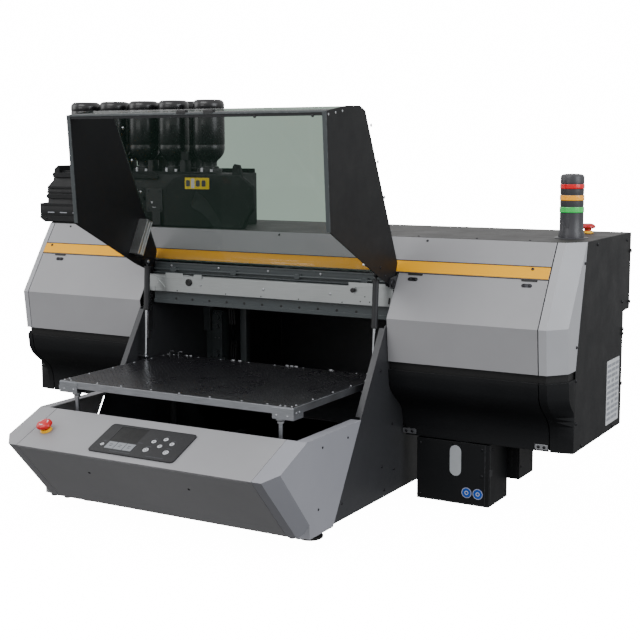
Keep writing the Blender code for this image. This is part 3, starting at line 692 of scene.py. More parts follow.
def build_panel():
    """Display, edge line, tick marks and key marks of the operator panel."""
    piece("display", [prism(rounded((-96.6, 65.4), (-18.4, 120.6), 2), 2.65, 3.1, "z")], DISPLAY,
          bevel=0.15, frame=CONSOLE)
    outer = rounded((-130.4, 19.1), (116.4, 127.9), 8.6, 6)
    inner = rounded((-129.6, 19.9), (115.6, 127.1), 7.8, 6)
    bm = bmesh.new()
    loops = [[bm.verts.new((u, v, n)) for u, v in loop]
             for loop, n in ((outer, BEZEL_TOP - 0.2), (outer, BEZEL_TOP + 0.25),
                             (inner, BEZEL_TOP + 0.25), (inner, BEZEL_TOP - 0.2))]
    count = len(outer)
    for ring in range(4):
        first, second = loops[ring], loops[(ring + 1) % 4]
        for here in range(count):
            following = (here + 1) % count
            bm.faces.new((first[here], first[following], second[following], second[here]))
    piece("panel_edge_line", [bm], BEZEL, frame=CONSOLE)
    dashes = []
    top = BEZEL_TOP + 0.15
    for x, u, length in ((-106, 60, 9), (-8, 70, 14), (21, 62, 16), (78, 64, 14), (22, 93, 8),
                         (74, 93, 8), (48, 107, 8), (-40, 27, 60), (60, 27, 52)):
        dashes.append(prism(rounded((x - length / 2, u - 0.8), (x + length / 2, u + 0.8), 0.7, 2),
                            BEZEL_TOP - 0.1, top, "z"))
    piece("panel_tick_marks", dashes, KEY_MARK, frame=CONSOLE)
    for name, left in FUNCTION_KEYS.items():
        middle = left + FUNCTION_KEY_HALF
        marks = [prism(rounded((middle - 4, 44), (middle + 4, 46), 0.8, 2), KEY_TOP - 0.1,
                       KEY_TOP + 0.12, "z"),
                 prism(rounded((middle - 4, 50), (middle + 4, 52), 0.8, 2), KEY_TOP - 0.1,
                       KEY_TOP + 0.12, "z")]
        piece(f"{name}_mark", marks, KEY_MARK, name, frame=CONSOLE)
    arrow = [(3.0, 0.0), (-1.8, 2.8), (-1.8, -2.8)]
    turns = {"left_arrow_key": 180, "right_arrow_key": 0, "up_arrow_key": 90, "down_arrow_key": 270}
    for name, (x, u, radius) in KEY_PLACES.items():
        where = CONSOLE @ Matrix.Translation((x, u, 0))
        if name in turns:
            where = where @ Matrix.Rotation(math.radians(turns[name]), 4, "Z")
            marks = [prism(arrow, KEY_TOP - 0.1, KEY_TOP + 0.12, "z")]
        else:
            marks = [lathe(ring_profile(radius * 0.42, radius * 0.56, KEY_TOP - 0.1, KEY_TOP + 0.12), 20)]
        piece(f"{name}_mark", marks, KEY_MARK, name, frame=where)


def build_stop(name, frame, body, base):
    """The collar on the cover, and the turning arrows on the mushroom head."""
    collar = [lathe([(9.8, base), (15, base), (15, base + 1.2), (13, base + 2), (12.6, base + 6),
                     (9.8, base + 6), (9.8, base)], 32)]
    piece(f"{name}_collar", collar, COLLAR, bevel=0.3, frame=frame)
    head = [lathe([(0, 25.7), (8, 25.4), (14, 24.3), (18, 21.8), (19.95, 18.4), (19.95, 15.6),
                   (18.2, 13.2), (15, 11.9), (9.45, 11.1), (9.45, -13.9), (0, -13.9)], 40)]
    piece(f"{name}_head", head, RED, body, frame=frame, replaces=(body,))
    marks = []
    for turn in range(3):
        bm = bmesh.new()
        start = turn * 120
        rows = []
        for step in range(7):
            angle = math.radians(start + step * 11)
            wide = 0.9 if step < 6 else 0.15
            if step == 4:
                wide = 2.2
            ring = []
            for radius, lift in ((11.2 - wide, -0.2), (11.2 + wide, -0.2), (11.2 + wide, 0.22),
                                 (11.2 - wide, 0.22)):
                height = 25.22 - (radius - 9) * 0.183
                ring.append(bm.verts.new((radius * math.cos(angle), radius * math.sin(angle),
                                          height + lift)))
            rows.append(ring)
        for first, second in zip(rows, rows[1:]):
            for here in range(4):
                following = (here + 1) % 4
                bm.faces.new((first[here], first[following], second[following], second[here]))
        bm.faces.new(rows[0])
        bm.faces.new(reversed(rows[-1]))
        marks.append(bm)
    piece(f"{name}_arrows", marks, PALE_MARK_AND_PAINTED_GLINT, body, frame=frame)


build_panel()
build_stop("front_stop", CONSOLE @ Matrix.Translation((*FRONT_STOP, 0)), "stop_button_front", 0.3)
build_stop("top_stop", Matrix.Translation((*TOP_STOP, COVER_TOP)), "stop_button_top", 0.3)


# =====================================================================================
# Table
# =====================================================================================
TABLE_HALF = 344.7
TABLE_FRONT = 12.3
TABLE_BACK = 460.0
TABLE_TOP = 295.7
HOLE_PITCH = 15.0
HOLE_RADIUS = 1.9


def perforated_plate():
    """The table plate with its grid of blind suction holes."""
    left, right = -TABLE_HALF + 3.4, TABLE_HALF - 3.4
    front, back = TABLE_FRONT + 3.4, TABLE_BACK - 3.4
    columns = int((right - left - 30) // HOLE_PITCH)
    rows = int((back - front - 30) // HOLE_PITCH)
    first_x = -columns * HOLE_PITCH / 2
    first_y = (front + back) / 2 - rows * HOLE_PITCH / 2
    xs = [left, left + 1] + [first_x + k * HOLE_PITCH for k in range(columns + 1)] + [right - 1, right]
    ys = [front, front + 1] + [first_y + k * HOLE_PITCH for k in range(rows + 1)] + [back - 1, back]
    bm = bmesh.new()

    def height(i, j):
        return TABLE_TOP - 0.8 if i in (0, len(xs) - 1) or j in (0, len(ys) - 1) else TABLE_TOP

    grid = [[bm.verts.new((x, y, height(i, j))) for j, y in enumerate(ys)] for i, x in enumerate(xs)]
    angles = [math.radians(-112.5 + 45 * k) for k in range(8)]
    for i in range(len(xs) - 1):
        for j in range(len(ys) - 1):
            corners = (grid[i][j], grid[i + 1][j], grid[i + 1][j + 1], grid[i][j + 1])
            if not (2 <= i < len(xs) - 3 and 2 <= j < len(ys) - 3):
                bm.faces.new(corners)
                continue
            cx = (xs[i] + xs[i + 1]) / 2
            cy = (ys[j] + ys[j + 1]) / 2
            rim = [bm.verts.new((cx + HOLE_RADIUS * math.cos(a), cy + HOLE_RADIUS * math.sin(a),
                                 TABLE_TOP)) for a in angles]
            deep = [bm.verts.new((vert.co.x, vert.co.y, TABLE_TOP - 5)) for vert in rim]
            for k in range(4):
                # The rim starts at the lower left corner and has two points for each corner.
                here = (2 * k - 1) % 8
                bm.faces.new((corners[k], rim[(here + 2) % 8], rim[(here + 1) % 8]))
                bm.faces.new((corners[k], corners[(k + 1) % 4], rim[(here + 3) % 8],
                              rim[(here + 2) % 8]))
            for k in range(8):
                following = (k + 1) % 8
                bm.faces.new((rim[k], rim[following], deep[following], deep[k]))
            bm.faces.new(deep)
    edges = [edge for edge in bm.edges if edge.is_boundary]
    lowered = bmesh.ops.extrude_edge_only(bm, edges=edges)["geom"]
    verts = [item for item in lowered if isinstance(item, bmesh.types.BMVert)]
    for vert in verts:
        vert.co.z = TABLE_TOP - 14.6
    bottom = [item for item in lowered if isinstance(item, bmesh.types.BMEdge)]
    bmesh.ops.edgeloop_fill(bm, edges=bottom)
    return bm


def build_table():
    """The perforated plate with its brackets, screws, clips and post flanges."""
    piece("table_plate_perforated", [perforated_plate()], TABLE_PAINT, "table",
          smooth=25, replaces=("table_plate",))
    under = TABLE_TOP - 18
    brackets = []
    for side in (-1, 1):
        for y, depth in ((TABLE_FRONT, 1), (TABLE_BACK, -1)):
            x = side * TABLE_HALF
            inner = side * (TABLE_HALF - 56)
            low, high = sorted((x + side * 0.6, inner))
            near, far = sorted((y - depth * 0.6, y + depth * 44))
            brackets.append(box((low, near, under - 12), (high, far, under - 0.2)))
            near, far = sorted((y - depth * 1.4, y - depth * 0.1))
            brackets.append(box((low, near, under - 11), (high, far, under + 15)))
            low, high = sorted((x + side * 1.4, x + side * 0.1))
            near, far = sorted((y - depth * 0.6, y + depth * 16))
            brackets.append(box((low, near, under - 11), (high, far, under + 15)))
    piece("table_brackets", brackets, RIM_METAL, "table", 0.5)
    screws = []
    front = TABLE_FRONT + 9
    back = TABLE_BACK - 9
    edge = TABLE_HALF - 9
    for x in (-edge, -315, -230, -155, -63, 21, 110, 200, 270, 305, 318, edge):
        screws.append(screw((x, front, TABLE_TOP), UP, 2.7, 1.5))
        screws.append(screw((x, back, TABLE_TOP), UP, 2.7, 1.5))
    for y in (40, 115, 210, 300, 375, 430):
        screws.append(screw((-edge, y, TABLE_TOP), UP, 2.7, 1.5))
        screws.append(screw((edge, y, TABLE_TOP), UP, 2.7, 1.5))
    for side in (-1, 1):
        for x in (side * 300, side * 330):
            screws.append(screw((x, TABLE_FRONT - 1.4, under - 3), FRONT, 2.4, 1.3))
            screws.append(screw((x, TABLE_BACK + 1.4, under - 3), REAR, 2.4, 1.3))
        for y in (24, 36, 436, 448):
            screws.append(screw((side * (TABLE_HALF + 1.4), y, under + 4), (side, 0, 0), 2.4, 1.3))
    piece("table_screws", screws, ZINC, "table")
    hooks = []
    for x in (-276, -262, -118, -96, 56, 70, 84, 190, 300, 312):
        hooks.append(prism(rounded((x - 5, TABLE_BACK - 4), (x + 5, TABLE_BACK - 0.5), 1, 2),
                           TABLE_TOP - 1, TABLE_TOP + 2.2, "z"))
    for x in (-330, -300):
        hooks.append(tube([(x, 452, TABLE_TOP - 1), (x, 452, TABLE_TOP + 7), (x + 4, 452, TABLE_TOP + 10),
                           (x + 14, 452, TABLE_TOP + 10)], 1.3, 8))
    piece("table_edge_clips", hooks, ZINC, "table", 0.3)
    flanges = []
    for x in (-POST_X, POST_X):
        for y in POST_ROWS:
            flanges.append(lathe([(5.2, under - 12), (12, under - 12), (12, under - 16),
                                  (8.5, under - 19), (8.5, under - 24), (5.2, under - 24),
                                  (5.2, under - 12)], 24, Matrix.Translation((x, y, 0))))
    piece("post_flanges", flanges, ZINC, "table", 0.4)


build_table()


# =====================================================================================
# Gantry front, struts and what shows in the throat
# =====================================================================================
APRON_Y = 428.0
HINGE = (428.0, 539.0)
STRUT_X = 356.0
STRUT_TOP = (393.0, 563.0)
STRUT_FOOT = (376.0, 300.0)
DISC = [(0, -0.4), (1, -0.4), (1, 1), (0.8, 1.2), (0, 1.2)]


def disc(place, normal, radius, height=1.0, steps=20):
    """A flat disc with a broken edge."""
    profile = [(r * radius, h * height) for r, h in DISC]
    return lathe(profile, steps, toward(place, normal))


def build_gantry_front():
    """Knobs, plates, lips, holes and the wiper rod of the gantry front."""
    knobs = [lathe([(0, -1), (10, -1), (10, 3), (8.5, 4.4), (5, 4.4), (4, 3), (0, 3)], 28,
                   toward((-241.7, APRON_Y, 507.0), FRONT)),
             lathe([(0, -1), (6, -1), (6, 6), (4.6, 7), (0, 7)], 24,
                   toward((273.6, APRON_Y - 2, 515.5), FRONT))]
    for x in (-361, 375):
        slot = prism(stadium(17, 4.2), -0.3, 0.9, "z",
                     toward((x, APRON_Y, 493), FRONT) @ Matrix.Rotation(math.radians(82), 4, "Z"))
        knobs.append(slot)
    for x, z in ((292.9, 487), (319.8, 487), (328, 480), (-281.8, 482), (-6.6, 482), (-120, 482),
                 (110, 482), (240, 482), (306, 500), (336, 500)):
        knobs.append(disc((x, APRON_Y, z), FRONT, 1.7, 0.5, 12))
    piece("apron_knobs", knobs, PLASTIC)
    screws = [screw((x, APRON_Y, 501.5), FRONT, 3.2, 1.8) for x in (-346.9, -202, 0.7, 205)]
    screws += [screw((x, 446, 549), FRONT, 3.4, 2.0) for x in (-312.8, -154.5, 5.2, 166.3, 326)]
    piece("gantry_screws", screws, ZINC)
    plates = [prism([(-384, 478), (-370, 523), (-357, 522), (-323, 491), (-357.7, 491),
                     (-357.7, 478)], APRON_Y - 1.6, APRON_Y - 0.1, "y"),
              prism([(260, 508), (260, 535), (380, 535), (380, 523), (278, 523), (278, 508)],
                    APRON_Y - 2.0, APRON_Y - 0.1, "y"),
              prism([(-320, 515), (-320, 531), (-262, 531), (-256, 515)], APRON_Y - 1.4,
                    APRON_Y - 0.1, "y"),
              box((-222, 424, 519), (-196, 440, 530)), box((-300, 428, 524.2), (-240, 441, 527)),
              box((-380, 428, 524.3), (380, 437, 525.6))]
    piece("apron_plates", plates, ALUMINIUM, bevel=0.3)
    lips = [box((-370, 438.4, 443.5), (370, 441.4, 454)), box((-370, 440.3, 470), (370, 441.4, 476)),
            box((-370, 436, 529), (370, 446, 532)), box((-370, 443.8, 554), (370, 446.4, 558.4))]
    piece("beam_lips", lips, RAIL, bevel=0.6)
    # Dark discs stand for the holes: painted shade inside them.
    holes = [disc((x, 441, 458), FRONT, 3.4, 0.5, 16)
             for x in (-295, -240, -183, -126, -68.8, -11.7, 48, 104.5, 160.8, 217.4, 274.3, 330)]
    piece("beam_holes", holes, DARK_AND_PAINTED_SHADE)
    rods = [rod((-366, 438.2, 540), (366, 438.2, 540), 3.2, 16)]
    for x in (-300, -100, 100, 300):
        rods.append(prism(rounded((x - 9, 534), (x + 9, 546), 3, 3), 434.5, 446, "y"))
    piece("wiper_rod", rods, RAIL, bevel=0.4)


def build_struts():
    """Bolts and rings of the gas struts, and the hood's hinge pins."""
    caps = []
    for word, side in (("left", -1), ("right", 1)):
        foot = (side * (STRUT_X - 3), *STRUT_FOOT)
        caps.append(screw((side * (STRUT_X - 3), *STRUT_FOOT), (-side, 0, 0), 5.2, 2.6))
        head = [screw((side * (STRUT_X - 3), *STRUT_TOP), (-side, 0, 0), 5.2, 2.6)]
        piece(f"strut_head_bolt_{word}", head, ZINC, "hood")
        start = Vector((side * STRUT_X, *STRUT_TOP))
        along = (Vector(foot) - start)
        along.x = 0
        along.normalize()
        rings = []
        for reach, radius in ((16, 9.0), (131, 9.2)):
            rings.append(lathe(ring_profile(8.1, radius, -3, 3), 20,
                               toward(start + along * reach, along)))
        piece(f"strut_rings_{word}", rings, PLASTIC, f"strut_tube_{word}", 0.4)
    piece("strut_foot_bolts", caps, ZINC)
    pins = []
    for side in (-1, 1):
        pins.append(lathe([(0, 0), (11, 0), (11, 2), (9.6, 3.4), (6, 3.6), (5, 2.2), (0, 2.2)], 28,
                          toward((side * PLATE_HALF, *HINGE), (side, 0, 0))))
        pins.append(lathe([(0, -12), (9, -12), (9, 0), (7.6, 1.6), (0, 1.6)], 28,
                          toward((side * 368.5, *HINGE), (-side, 0, 0))))
    piece("hood_hinge_pins", pins, SCREW)


def build_throat():
    """Damper strip, height sensor, service post and wiring behind the table."""
    strip_parts = [prism([(418.7, 467.9), (442.5, 465.3), (438.9, 363.6), (427.7, 363.2),
                          (427, 343.2), (414.2, 345)], -380.8, -378.6),
                   prism([(411, 345), (414.2, 345), (418, 420), (414, 420)], -378.5, -374)]
    piece("damper_strip", strip_parts, ZINC, bevel=0.5)
    back = 700.0
    parts = [prism([(-380, 120), (-316, 120), (-316, 392), (-350, 392), (-378, 360)], back, back + 4, "y"),
             prism(strip([(-318, back + 26), (-318, back - 8), (-345, back - 8), (-345, back + 26)], 3),
                   110, 388, "z"),
             box((-380, back - 12, 330), (-356, back + 10, 400)),
             rod((-332, back - 18, 372), (-332, back - 8, 372), 11, 24),
             rod((-332, back - 18, 345), (-332, back - 8, 345), 8, 24),
             rod((-332, back - 20, 262), (-332, back - 8, 262), 9, 24),
             box((-362, back - 10, 236), (-306, back + 2, 250))]
    piece("height_sensor_bracket", parts, RAIL, bevel=0.8)
    bits = [screw((x, back - 9, z), FRONT, 3.2, 2) for x, z in
            ((-338, 384), (-325, 384), (-338, 310), (-325, 310), (-370, 392), (-380, 340), (-355, 243),
             (-315, 243))]
    piece("height_sensor_screws", bits, ZINC)
    post = [prism(rounded((-257, back), (-235, back + 22), 2.5, 3), 110, 436, "z"),
            prism(rounded((-264, back - 6), (-228, back + 28), 3, 3), 405, 416, "z")]
    piece("service_post", post, RAIL, bevel=0.5)
    shelf = [prism(strip([(640, 110), (1060, 110), (1060, 60)], 3), -380, 380)]
    piece("rear_shelf", shelf, STEEL_BLACK, bevel=0.6)
    cables = []
    for offset, lift in ((0, 0), (9, 6), (-8, 12)):
        cables.append(tube([(-296 + offset, 716, 118), (-294 + offset, 714, 200 + lift),
                            (-288 + offset, 712, 280 + lift), (-292 + offset, 712, 350),
                            (-300 + offset, 716, 424)], 3.0, 8))
    piece("sensor_leads", cables, PLASTIC)
    links = []
    for step in range(44):
        x = -372 + step * 17
        links.append(prism(rounded((600, 604), (646, 634), 4, 3), x, x + 14.6))
    piece("cable_carrier_gantry", links, BELT, bevel=0.8)
    rails = [prism([(641.5, 551), (648, 551), (648, 565), (641.5, 565), (643.5, 562), (643.5, 554)],
                   -500, 505)]
    piece("carriage_rail", rails, BRIGHT, bevel=0.3)


build_gantry_front()
build_struts()
build_throat()


# =====================================================================================
# Wings, long covers and the rear
# =====================================================================================
SPLIT_Z = 345.3
RECESS_LOW = 318.0
RECESS_DEPTH = 9
BLACK_TOP = 325.0
CATCH_SPANS = ((386.5, 425.0), (744.0, 777.0))
WING_RIGHT = 837.0
WING_LEFT = -856.0
DOOR_FOLD = ((461.0, 562.3), (392.3, 454.0))
STRIPE_NORMAL = Vector((0, -27.4, 18.6)).normalized()


def build_wing_covers():
    """Doors and end caps: grey over black, with the recess that parts them; the caps' grey is lightened as
    painted light and the recess is darkened as painted shade.
    """
    for word, side in (("left", -1), ("right", 1)):
        door = f"door_{word}"
        covers = ((door, GREY, door, (0, RECESS_DEPTH, 0)),
                  (f"end_cap_{word}", PAINTED_LIGHT_CAP_GREY, "machine", (-side * 5, RECESS_DEPTH, 0)))
        for node, grey, body, inset in covers:
            slice_node(node, f"{node}_grey", SPLIT_Z, None, grey, body)
            # The recess band is darker than the black below it: painted shade in the recess.
            slice_node(node, f"{node}_recess", RECESS_LOW, SPLIT_Z + 6, DARK_AND_PAINTED_SHADE, body, inset)
            slice_node(node, f"{node}_black", None, BLACK_TOP, BLACK, body, bevel=1.1)


def on_door(x, share):
    """A point on the door's upper face, a share of the way down it."""
    (top_y, top_z), (low_y, low_z) = DOOR_FOLD
    return Vector((x, top_y + (low_y - top_y) * share, top_z + (low_z - top_z) * share))


def build_door_fittings():
    """Hinge plates, screws and leaves, and the catches at the doors' lower edge."""
    (top_y, top_z), (low_y, low_z) = DOOR_FOLD
    normal = Vector((0, low_z - top_z, top_y - low_y)).normalized()
    down = Vector((0, low_y - top_y, low_z - top_z)).normalized()
    across = Vector((1, 0, 0))
    for word, side in (("left", -1), ("right", 1)):
        plates, screws, leaves, catches, catch_screws = [], [], [], [], []
        for middle in (428.0, 727.5):
            center = on_door(side * middle, 0.125)
            frame = Matrix.Identity(4)
            frame.col[0] = (*across, 0)
            frame.col[1] = (*down, 0)
            frame.col[2] = (*(across.cross(down)), 0)
            frame.translation = center
            plates.append(prism(stadium(27, 10), -0.7, 0.7, "z", frame))
            for offset in (-7.2, 7.2):
                screws.append(screw(center + across * offset + normal * 0.6, normal, 3.8, 2.2))
            top = on_door(side * (middle + 4), 0.012) + normal * 0.2
            frame = frame.copy()
            frame.translation = top
            leaves.append(prism(rounded((-20, -2.5), (20, 3.5), 1.4, 3), -1.2, 1.6, "z", frame))
        for low, high in CATCH_SPANS:
            start, end = sorted((side * low, side * high))
            catches.append(prism(rounded((start, 146.5), (end, 159.5), 3, 3), 484.6, 487.4, "y"))
            for share in (0.28, 0.72):
                x = start + (end - start) * share
                catch_screws.append(screw((x, 484.7, 153), FRONT, 4.0, 2.2))
        body = f"door_{word}"
        piece(f"door_{word}_hinge_plates", plates, SCREW, body)
        piece(f"door_{word}_hinge_screws", screws, SCREW, body)
        piece(f"door_{word}_hinge_leaves", leaves, DARK_AND_PAINTED_SHADE, body)
        piece(f"door_{word}_catches", catches, ZINC, body, 0.3)
        piece(f"door_{word}_catch_screws", catch_screws, SCREW, body)


def build_long_cover_screws():
    """Screws of the long covers and the dark lines beside the stripe."""
    screws = [screw((x, 475.9 - 1.4, 585.8 + 0.9), STRIPE_NORMAL, 4.0, 2.0) for x in (734, -775.5)]
    upper_normal = Vector((0, -57.3, 37.8)).normalized()
    screws += [screw((x, 512.3, 641), upper_normal, 3.2, 1.6) for x in (-734.6, 440, -440, 0)]
    for x in (-830, -420, 0, 420, 660, 818):
        screws.append(screw((x, 912, COVER_TOP), UP, 3.6, 1.8))
    for x in (400, 560, 700, 815, -130):
        screws.append(screw((x, 545, COVER_TOP), UP, 3.2, 1.6))
    piece("cover_screws", screws, SCREW)
    (high_y, high_z), (low_y, low_z) = (479.6, 591.4), (461.0, 564.0)
    edge = [prism([(high_y - 2.4, high_z + 0.6), (high_y - 0.4, high_z + 2.4),
                   (high_y + 1.4, high_z + 1.0), (high_y - 0.4, high_z - 0.8)], -800, 778),
            prism([(low_y - 0.2, low_z - 0.4), (low_y + 2.2, low_z - 1.8), (low_y + 5, low_z - 4),
                   (low_y + 3.4, low_z - 5)], -800, 778)]
    piece("stripe_shadow_lines", edge, DARK_AND_PAINTED_SHADE)


SIDE_SCREWS = ((647, 637), (549.5, 598.6), (501.5, 401.6), (504, 320), (510.5, 213.8), (557, 150.5),
               (808, 150.5), (900, 630), (870, 470))
SIDE_NUTS = ((930, 600), (929, 464), (874, 397), (874, 385.5), (874, 251.7))


def build_side_fittings():
    """Screws, knobs and hems of the side panels, and the plain label."""
    for word, side, outer in (("left", -1, WING_LEFT), ("right", 1, WING_RIGHT)):
        out = (side, 0, 0)
        screws = [screw((outer, y, z), out, 4.0, 2.4) for y, z in SIDE_SCREWS]
        piece(f"side_screws_{word}", screws, SCREW)
        knobs = [lathe([(0, -0.3), (5.4, -0.3), (5.4, 2), (4.4, 4), (0, 4)], 18,
                       toward((outer, y, z), out)) for y, z in SIDE_NUTS]
        for z in (600, 464):
            knobs.append(lathe([(0, 0), (6, 0), (6, 4), (4.5, 6), (0, 6)], 18,
                               toward((outer - side * 12, 937, z), REAR)))
        for z in (397, 385.5, 251.7):
            knobs.append(lathe([(0, 0), (4.5, 0), (4.5, 5), (3.4, 7), (0, 7)], 18,
                               toward((outer - side * 10, 881, z), REAR)))
        low, high = sorted((outer - side * 16, outer - side * 4))
        knobs.append(prism(rounded((881, 326), (893, 350), 3, 3), low, high))
        low, high = sorted((outer - side * 26, outer - side * 10))
        knobs.append(prism([(650, 141.8), (692, 141.8), (686, 134), (656, 134)], low, high))
        piece(f"side_knobs_{word}", knobs, PLASTIC, bevel=0.4)
        lip = [prism([(883.2, 141.6), (880.4, 141.6), (880.4, 439), (883.2, 441)],
                     *sorted((outer - side * 2.8, outer - side * 0.2))),
               prism([(506, 140.9), (880, 140.9), (880, 143.5), (506, 143.5)],
                     *sorted((outer - side * 14, outer - side * 0.4)))]
        piece(f"side_hems_{word}", lip, STEEL_BLACK, bevel=0.4)
    label = prism(rounded((752, 160), (858, 328), 2, 3), WING_RIGHT - 0.1, WING_RIGHT + 0.35)
    piece("side_label", [label], PAPER)
    bars = []
    for row in range(11):
        z = 318 - row * 14
        for start, end in ((757, 789), (793, 822), (826, 853)):
            if (row * 5 + start) % 4 == 0:
                end -= 9
            bars.append(prism(rounded((start, z - 8), (end, z), 0.8, 2), WING_RIGHT + 0.25,
                              WING_RIGHT + 0.55))
    piece("side_label_bars", bars, PRINT_GREY_AND_PAINTED_HIGHLIGHT)


def build_waste_box():
    """Window, bottle, discs, seams and screws of the waste ink box."""
    rim = [prism([(537.5 + v, 92.5 + u) for u, v in stadium(84, 36, 12)], 479.2, 479.9, "y")]
    piece("waste_window_rim", rim, BLACK, smooth=40)
    pane = [prism([(537.5 + v, 92.5 + u) for u, v in stadium(79, 31, 12)], 478.7, 479.6, "y")]
    piece("waste_window_pane", pane, PANE, bevel=0.3, smooth=40)
    bottle = [lathe([(0, -12), (44, -12), (50, -8), (50, 100), (44, 116), (26, 126), (20, 128),
                     (20, 138), (0, 138)], 36, Matrix.Translation((536, 538, 0)))]
    piece("waste_bottle", bottle, FLUID)
    discs, rings = [], []
    for x in (568.4, 598.7):
        discs.append(lathe([(0, -0.2), (13.6, -0.2), (13.6, 0.4), (0, 0.4)], 40,
                           toward((x, 480, 13), FRONT)))
        rings.append(lathe(ring_profile(12.2, 13.2, 0.3, 0.65), 40,
                           toward((x, 480, 13), FRONT)))
        rings.append(lathe(ring_profile(3.5, 5.2, 0.3, 0.65), 28,
                           toward((x, 480, 13), FRONT)))
    piece("waste_box_discs", discs, BLUE_LABEL)
    piece("waste_box_disc_rings", rings, PALE_MARK_AND_PAINTED_GLINT)
    seams = [box((616, 479.3, -17), (618, 480.2, 140)), box((430.4, 479.4, -17.8), (627.6, 480.4, -14)),
             box((627.6, 486, -17), (628.9, 489, 140)), box((627.6, 482, 60), (629.4, 500, 78))]
    piece("waste_box_seams", seams, STEEL_BLACK, bevel=0.3)
    bits = [screw((x, 480, z), FRONT, 3.2, 1.8) for x, z in
            ((440, -6), (440, 128), (609, 128), (609, 60))]
    bits += [screw((628, y, z), (1, 0, 0), 3.2, 1.8) for y, z in ((500, 128), (590, 128), (590, 0))]
    bits += [screw((x, 608, z), FRONT, 2.8, 1.6) for x, z in ((648, 40), (648, 120))]
    bits += [screw((659, y, z), (1, 0, 0), 3.0, 1.6) for y, z in ((620, 60), (696, 60), (620, 128))]
    piece("waste_box_screws", bits, SCREW)
    flap = [box((600, 606.4, 34), (654, 608.2, 136)), box((632, 604.6, 60), (640, 606.6, 108))]
    piece("waste_pump_flap", flap, BLACK, bevel=0.6)


REAR_FANS = (-200, 0, 200)
FAN_HEIGHT = 548


def build_rear():
    """Louvres, fan guards, ports and screws: the back isn't in view at rest."""
    rear = 937.0
    louvres = []
    for start in (-780, -560, 420, 620):
        for row in range(9):
            z = 500 + row * 13
            louvres.append(prism([(rear - 0.2, z), (rear + 5, z - 1.5), (rear + 5, z - 3),
                                  (rear - 0.2, z - 8)], start, start + 150))
    piece("rear_louvres", louvres, BLACK, bevel=0.3)
    guards = []
    for x in REAR_FANS:
        for radius in (14, 26, 38, 50):
            guards.append(lathe(ring_profile(radius - 1.3, radius + 1.3, 2, 4.6), 44,
                                toward((x, rear, FAN_HEIGHT), REAR)))
        for angle in (45, 135):
            reach = 58
            a = math.radians(angle)
            aside, rise = reach * math.cos(a), reach * math.sin(a)
            guards.append(rod((x - aside, rear + 2.4, FAN_HEIGHT - rise),
                              (x + aside, rear + 2.4, FAN_HEIGHT + rise), 1.6, 8))
    piece("fan_guards", guards, ZINC)
    wells = [lathe([(0, -0.3), (56, -0.3), (56, 1.6), (53, 2.2), (53, 0.6), (0, 0.6)], 44,
                   toward((x, rear, FAN_HEIGHT), REAR)) for x in REAR_FANS]
    piece("fan_wells", wells, DARK_AND_PAINTED_SHADE)
    screws = [screw((x, rear, z), REAR, 4.0, 2.2) for z in (464, 636)
              for x in (-840, -600, -360, -120, 120, 360, 600, 820)]
    screws += [screw((x, BED_DEPTH, z), REAR, 4.0, 2.2) for z in (16, 436)
               for x in (-370, -185, 0, 185, 370)]
    screws += [screw((x, 881, z), REAR, 4.0, 2.2) for z in (156, 428)
               for x in (-840, -620, -410, 410, 620, 745)]
    piece("rear_screws", screws, SCREW)
    vents = []
    for start in (-310, 60):
        for row in range(10):
            z = 120 + row * 15
            vents.append(box((start, BED_DEPTH - 0.4, z), (start + 250, BED_DEPTH + 0.5, z + 5)))
    for start in (420, 600):
        for row in range(6):
            z = 330 + row * 14
            if start == 600:
                z -= 120
            vents.append(box((start, 880.6, z), (start + 130, 881.5, z + 5)))
    for row in range(6):
        z = 330 + row * 14
        vents.append(box((-780, 880.6, z), (-460, 881.5, z + 5)))
    piece("rear_vent_slots", vents, DARK_AND_PAINTED_SHADE)
    ports = [box((700, 881, 360), (820, 882.6, 402))]
    piece("port_plate", ports, ALUMINIUM, bevel=0.4)
    sockets = [box((712, 882.2, 372), (728, 884, 386)), box((738, 882.2, 374), (752, 884, 382)),
               box((762, 882.2, 374), (776, 884, 382))]
    piece("data_ports", sockets, DARK_AND_PAINTED_SHADE, bevel=0.3)
    blades = [box((x, 884, z), (x + 1.6, 893.5, z + 5)) for x, z in ((790, 318), (808, 318), (799, 327))]
    piece("inlet_blades", blades, ZINC)
    switch = [prism(rounded((712, 306), (744, 340), 3, 3), 881, 884.5, "y"),
              prism([(718, 312), (738, 312), (738, 334), (718, 334)], 884, 888, "y")]
    piece("mains_switch", switch, PLASTIC, bevel=0.8)


build_wing_covers()
build_door_fittings()
build_long_cover_screws()
build_side_fittings()
build_waste_box()
build_rear()


# =====================================================================================
# Ink station
# =====================================================================================
BOTTLES = [(x, 612.0) for x in (-748, -637, -528, -420, -296)] + [(x, 710.0) for x in
                                                                  (-690, -580, -432)]
RACK_FACE = 548.0


def build_bottles():
    """Each bottle: a blow-moulded shell with a domed end, ribs and a threaded collar."""
    shell = [(0, 1004.5), (14, 1004.5), (20, 1006.5), (26, 1009.3), (34, 1009.3), (39.5, 1007),
             (43.3, 1002.5), (45, 996), (45, 985), (44.2, 983.5), (44.2, 981.5), (45, 980), (45, 884),
             (44.2, 882.5), (44.2, 880.5), (45, 879), (44.4, 868), (41.8, 858), (37, 850), (31, 843.5),
             (26, 839), (23, 836), (22, 832), (22, 822), (17, 821.5), (17, 776), (15, 774.2), (0, 774.2)]
    for number, (x, y) in enumerate(BOTTLES, 1):
        body = f"ink_bottle_{number}"
        where = Matrix.Translation((x, y, 0))
        piece(f"bottle_shell_{number}", [lathe(shell, 44)], BOTTLE, body, smooth=40,
              frame=where, replaces=(body,))
        cap = [lathe([(17.2, 803), (25, 803), (26, 805), (26, 819), (25, 821), (17.2, 821),
                      (17.2, 803)], 32)]
        for k in range(24):
            a = math.tau * k / 24
            rib = box((25.4, -0.9, 804.5), (27.2, 0.9, 819.5))
            rib.transform(Matrix.Rotation(a, 4, "Z"))
            cap.append(rib)
        piece(f"bottle_cap_{number}", cap, PLASTIC, body, frame=where)


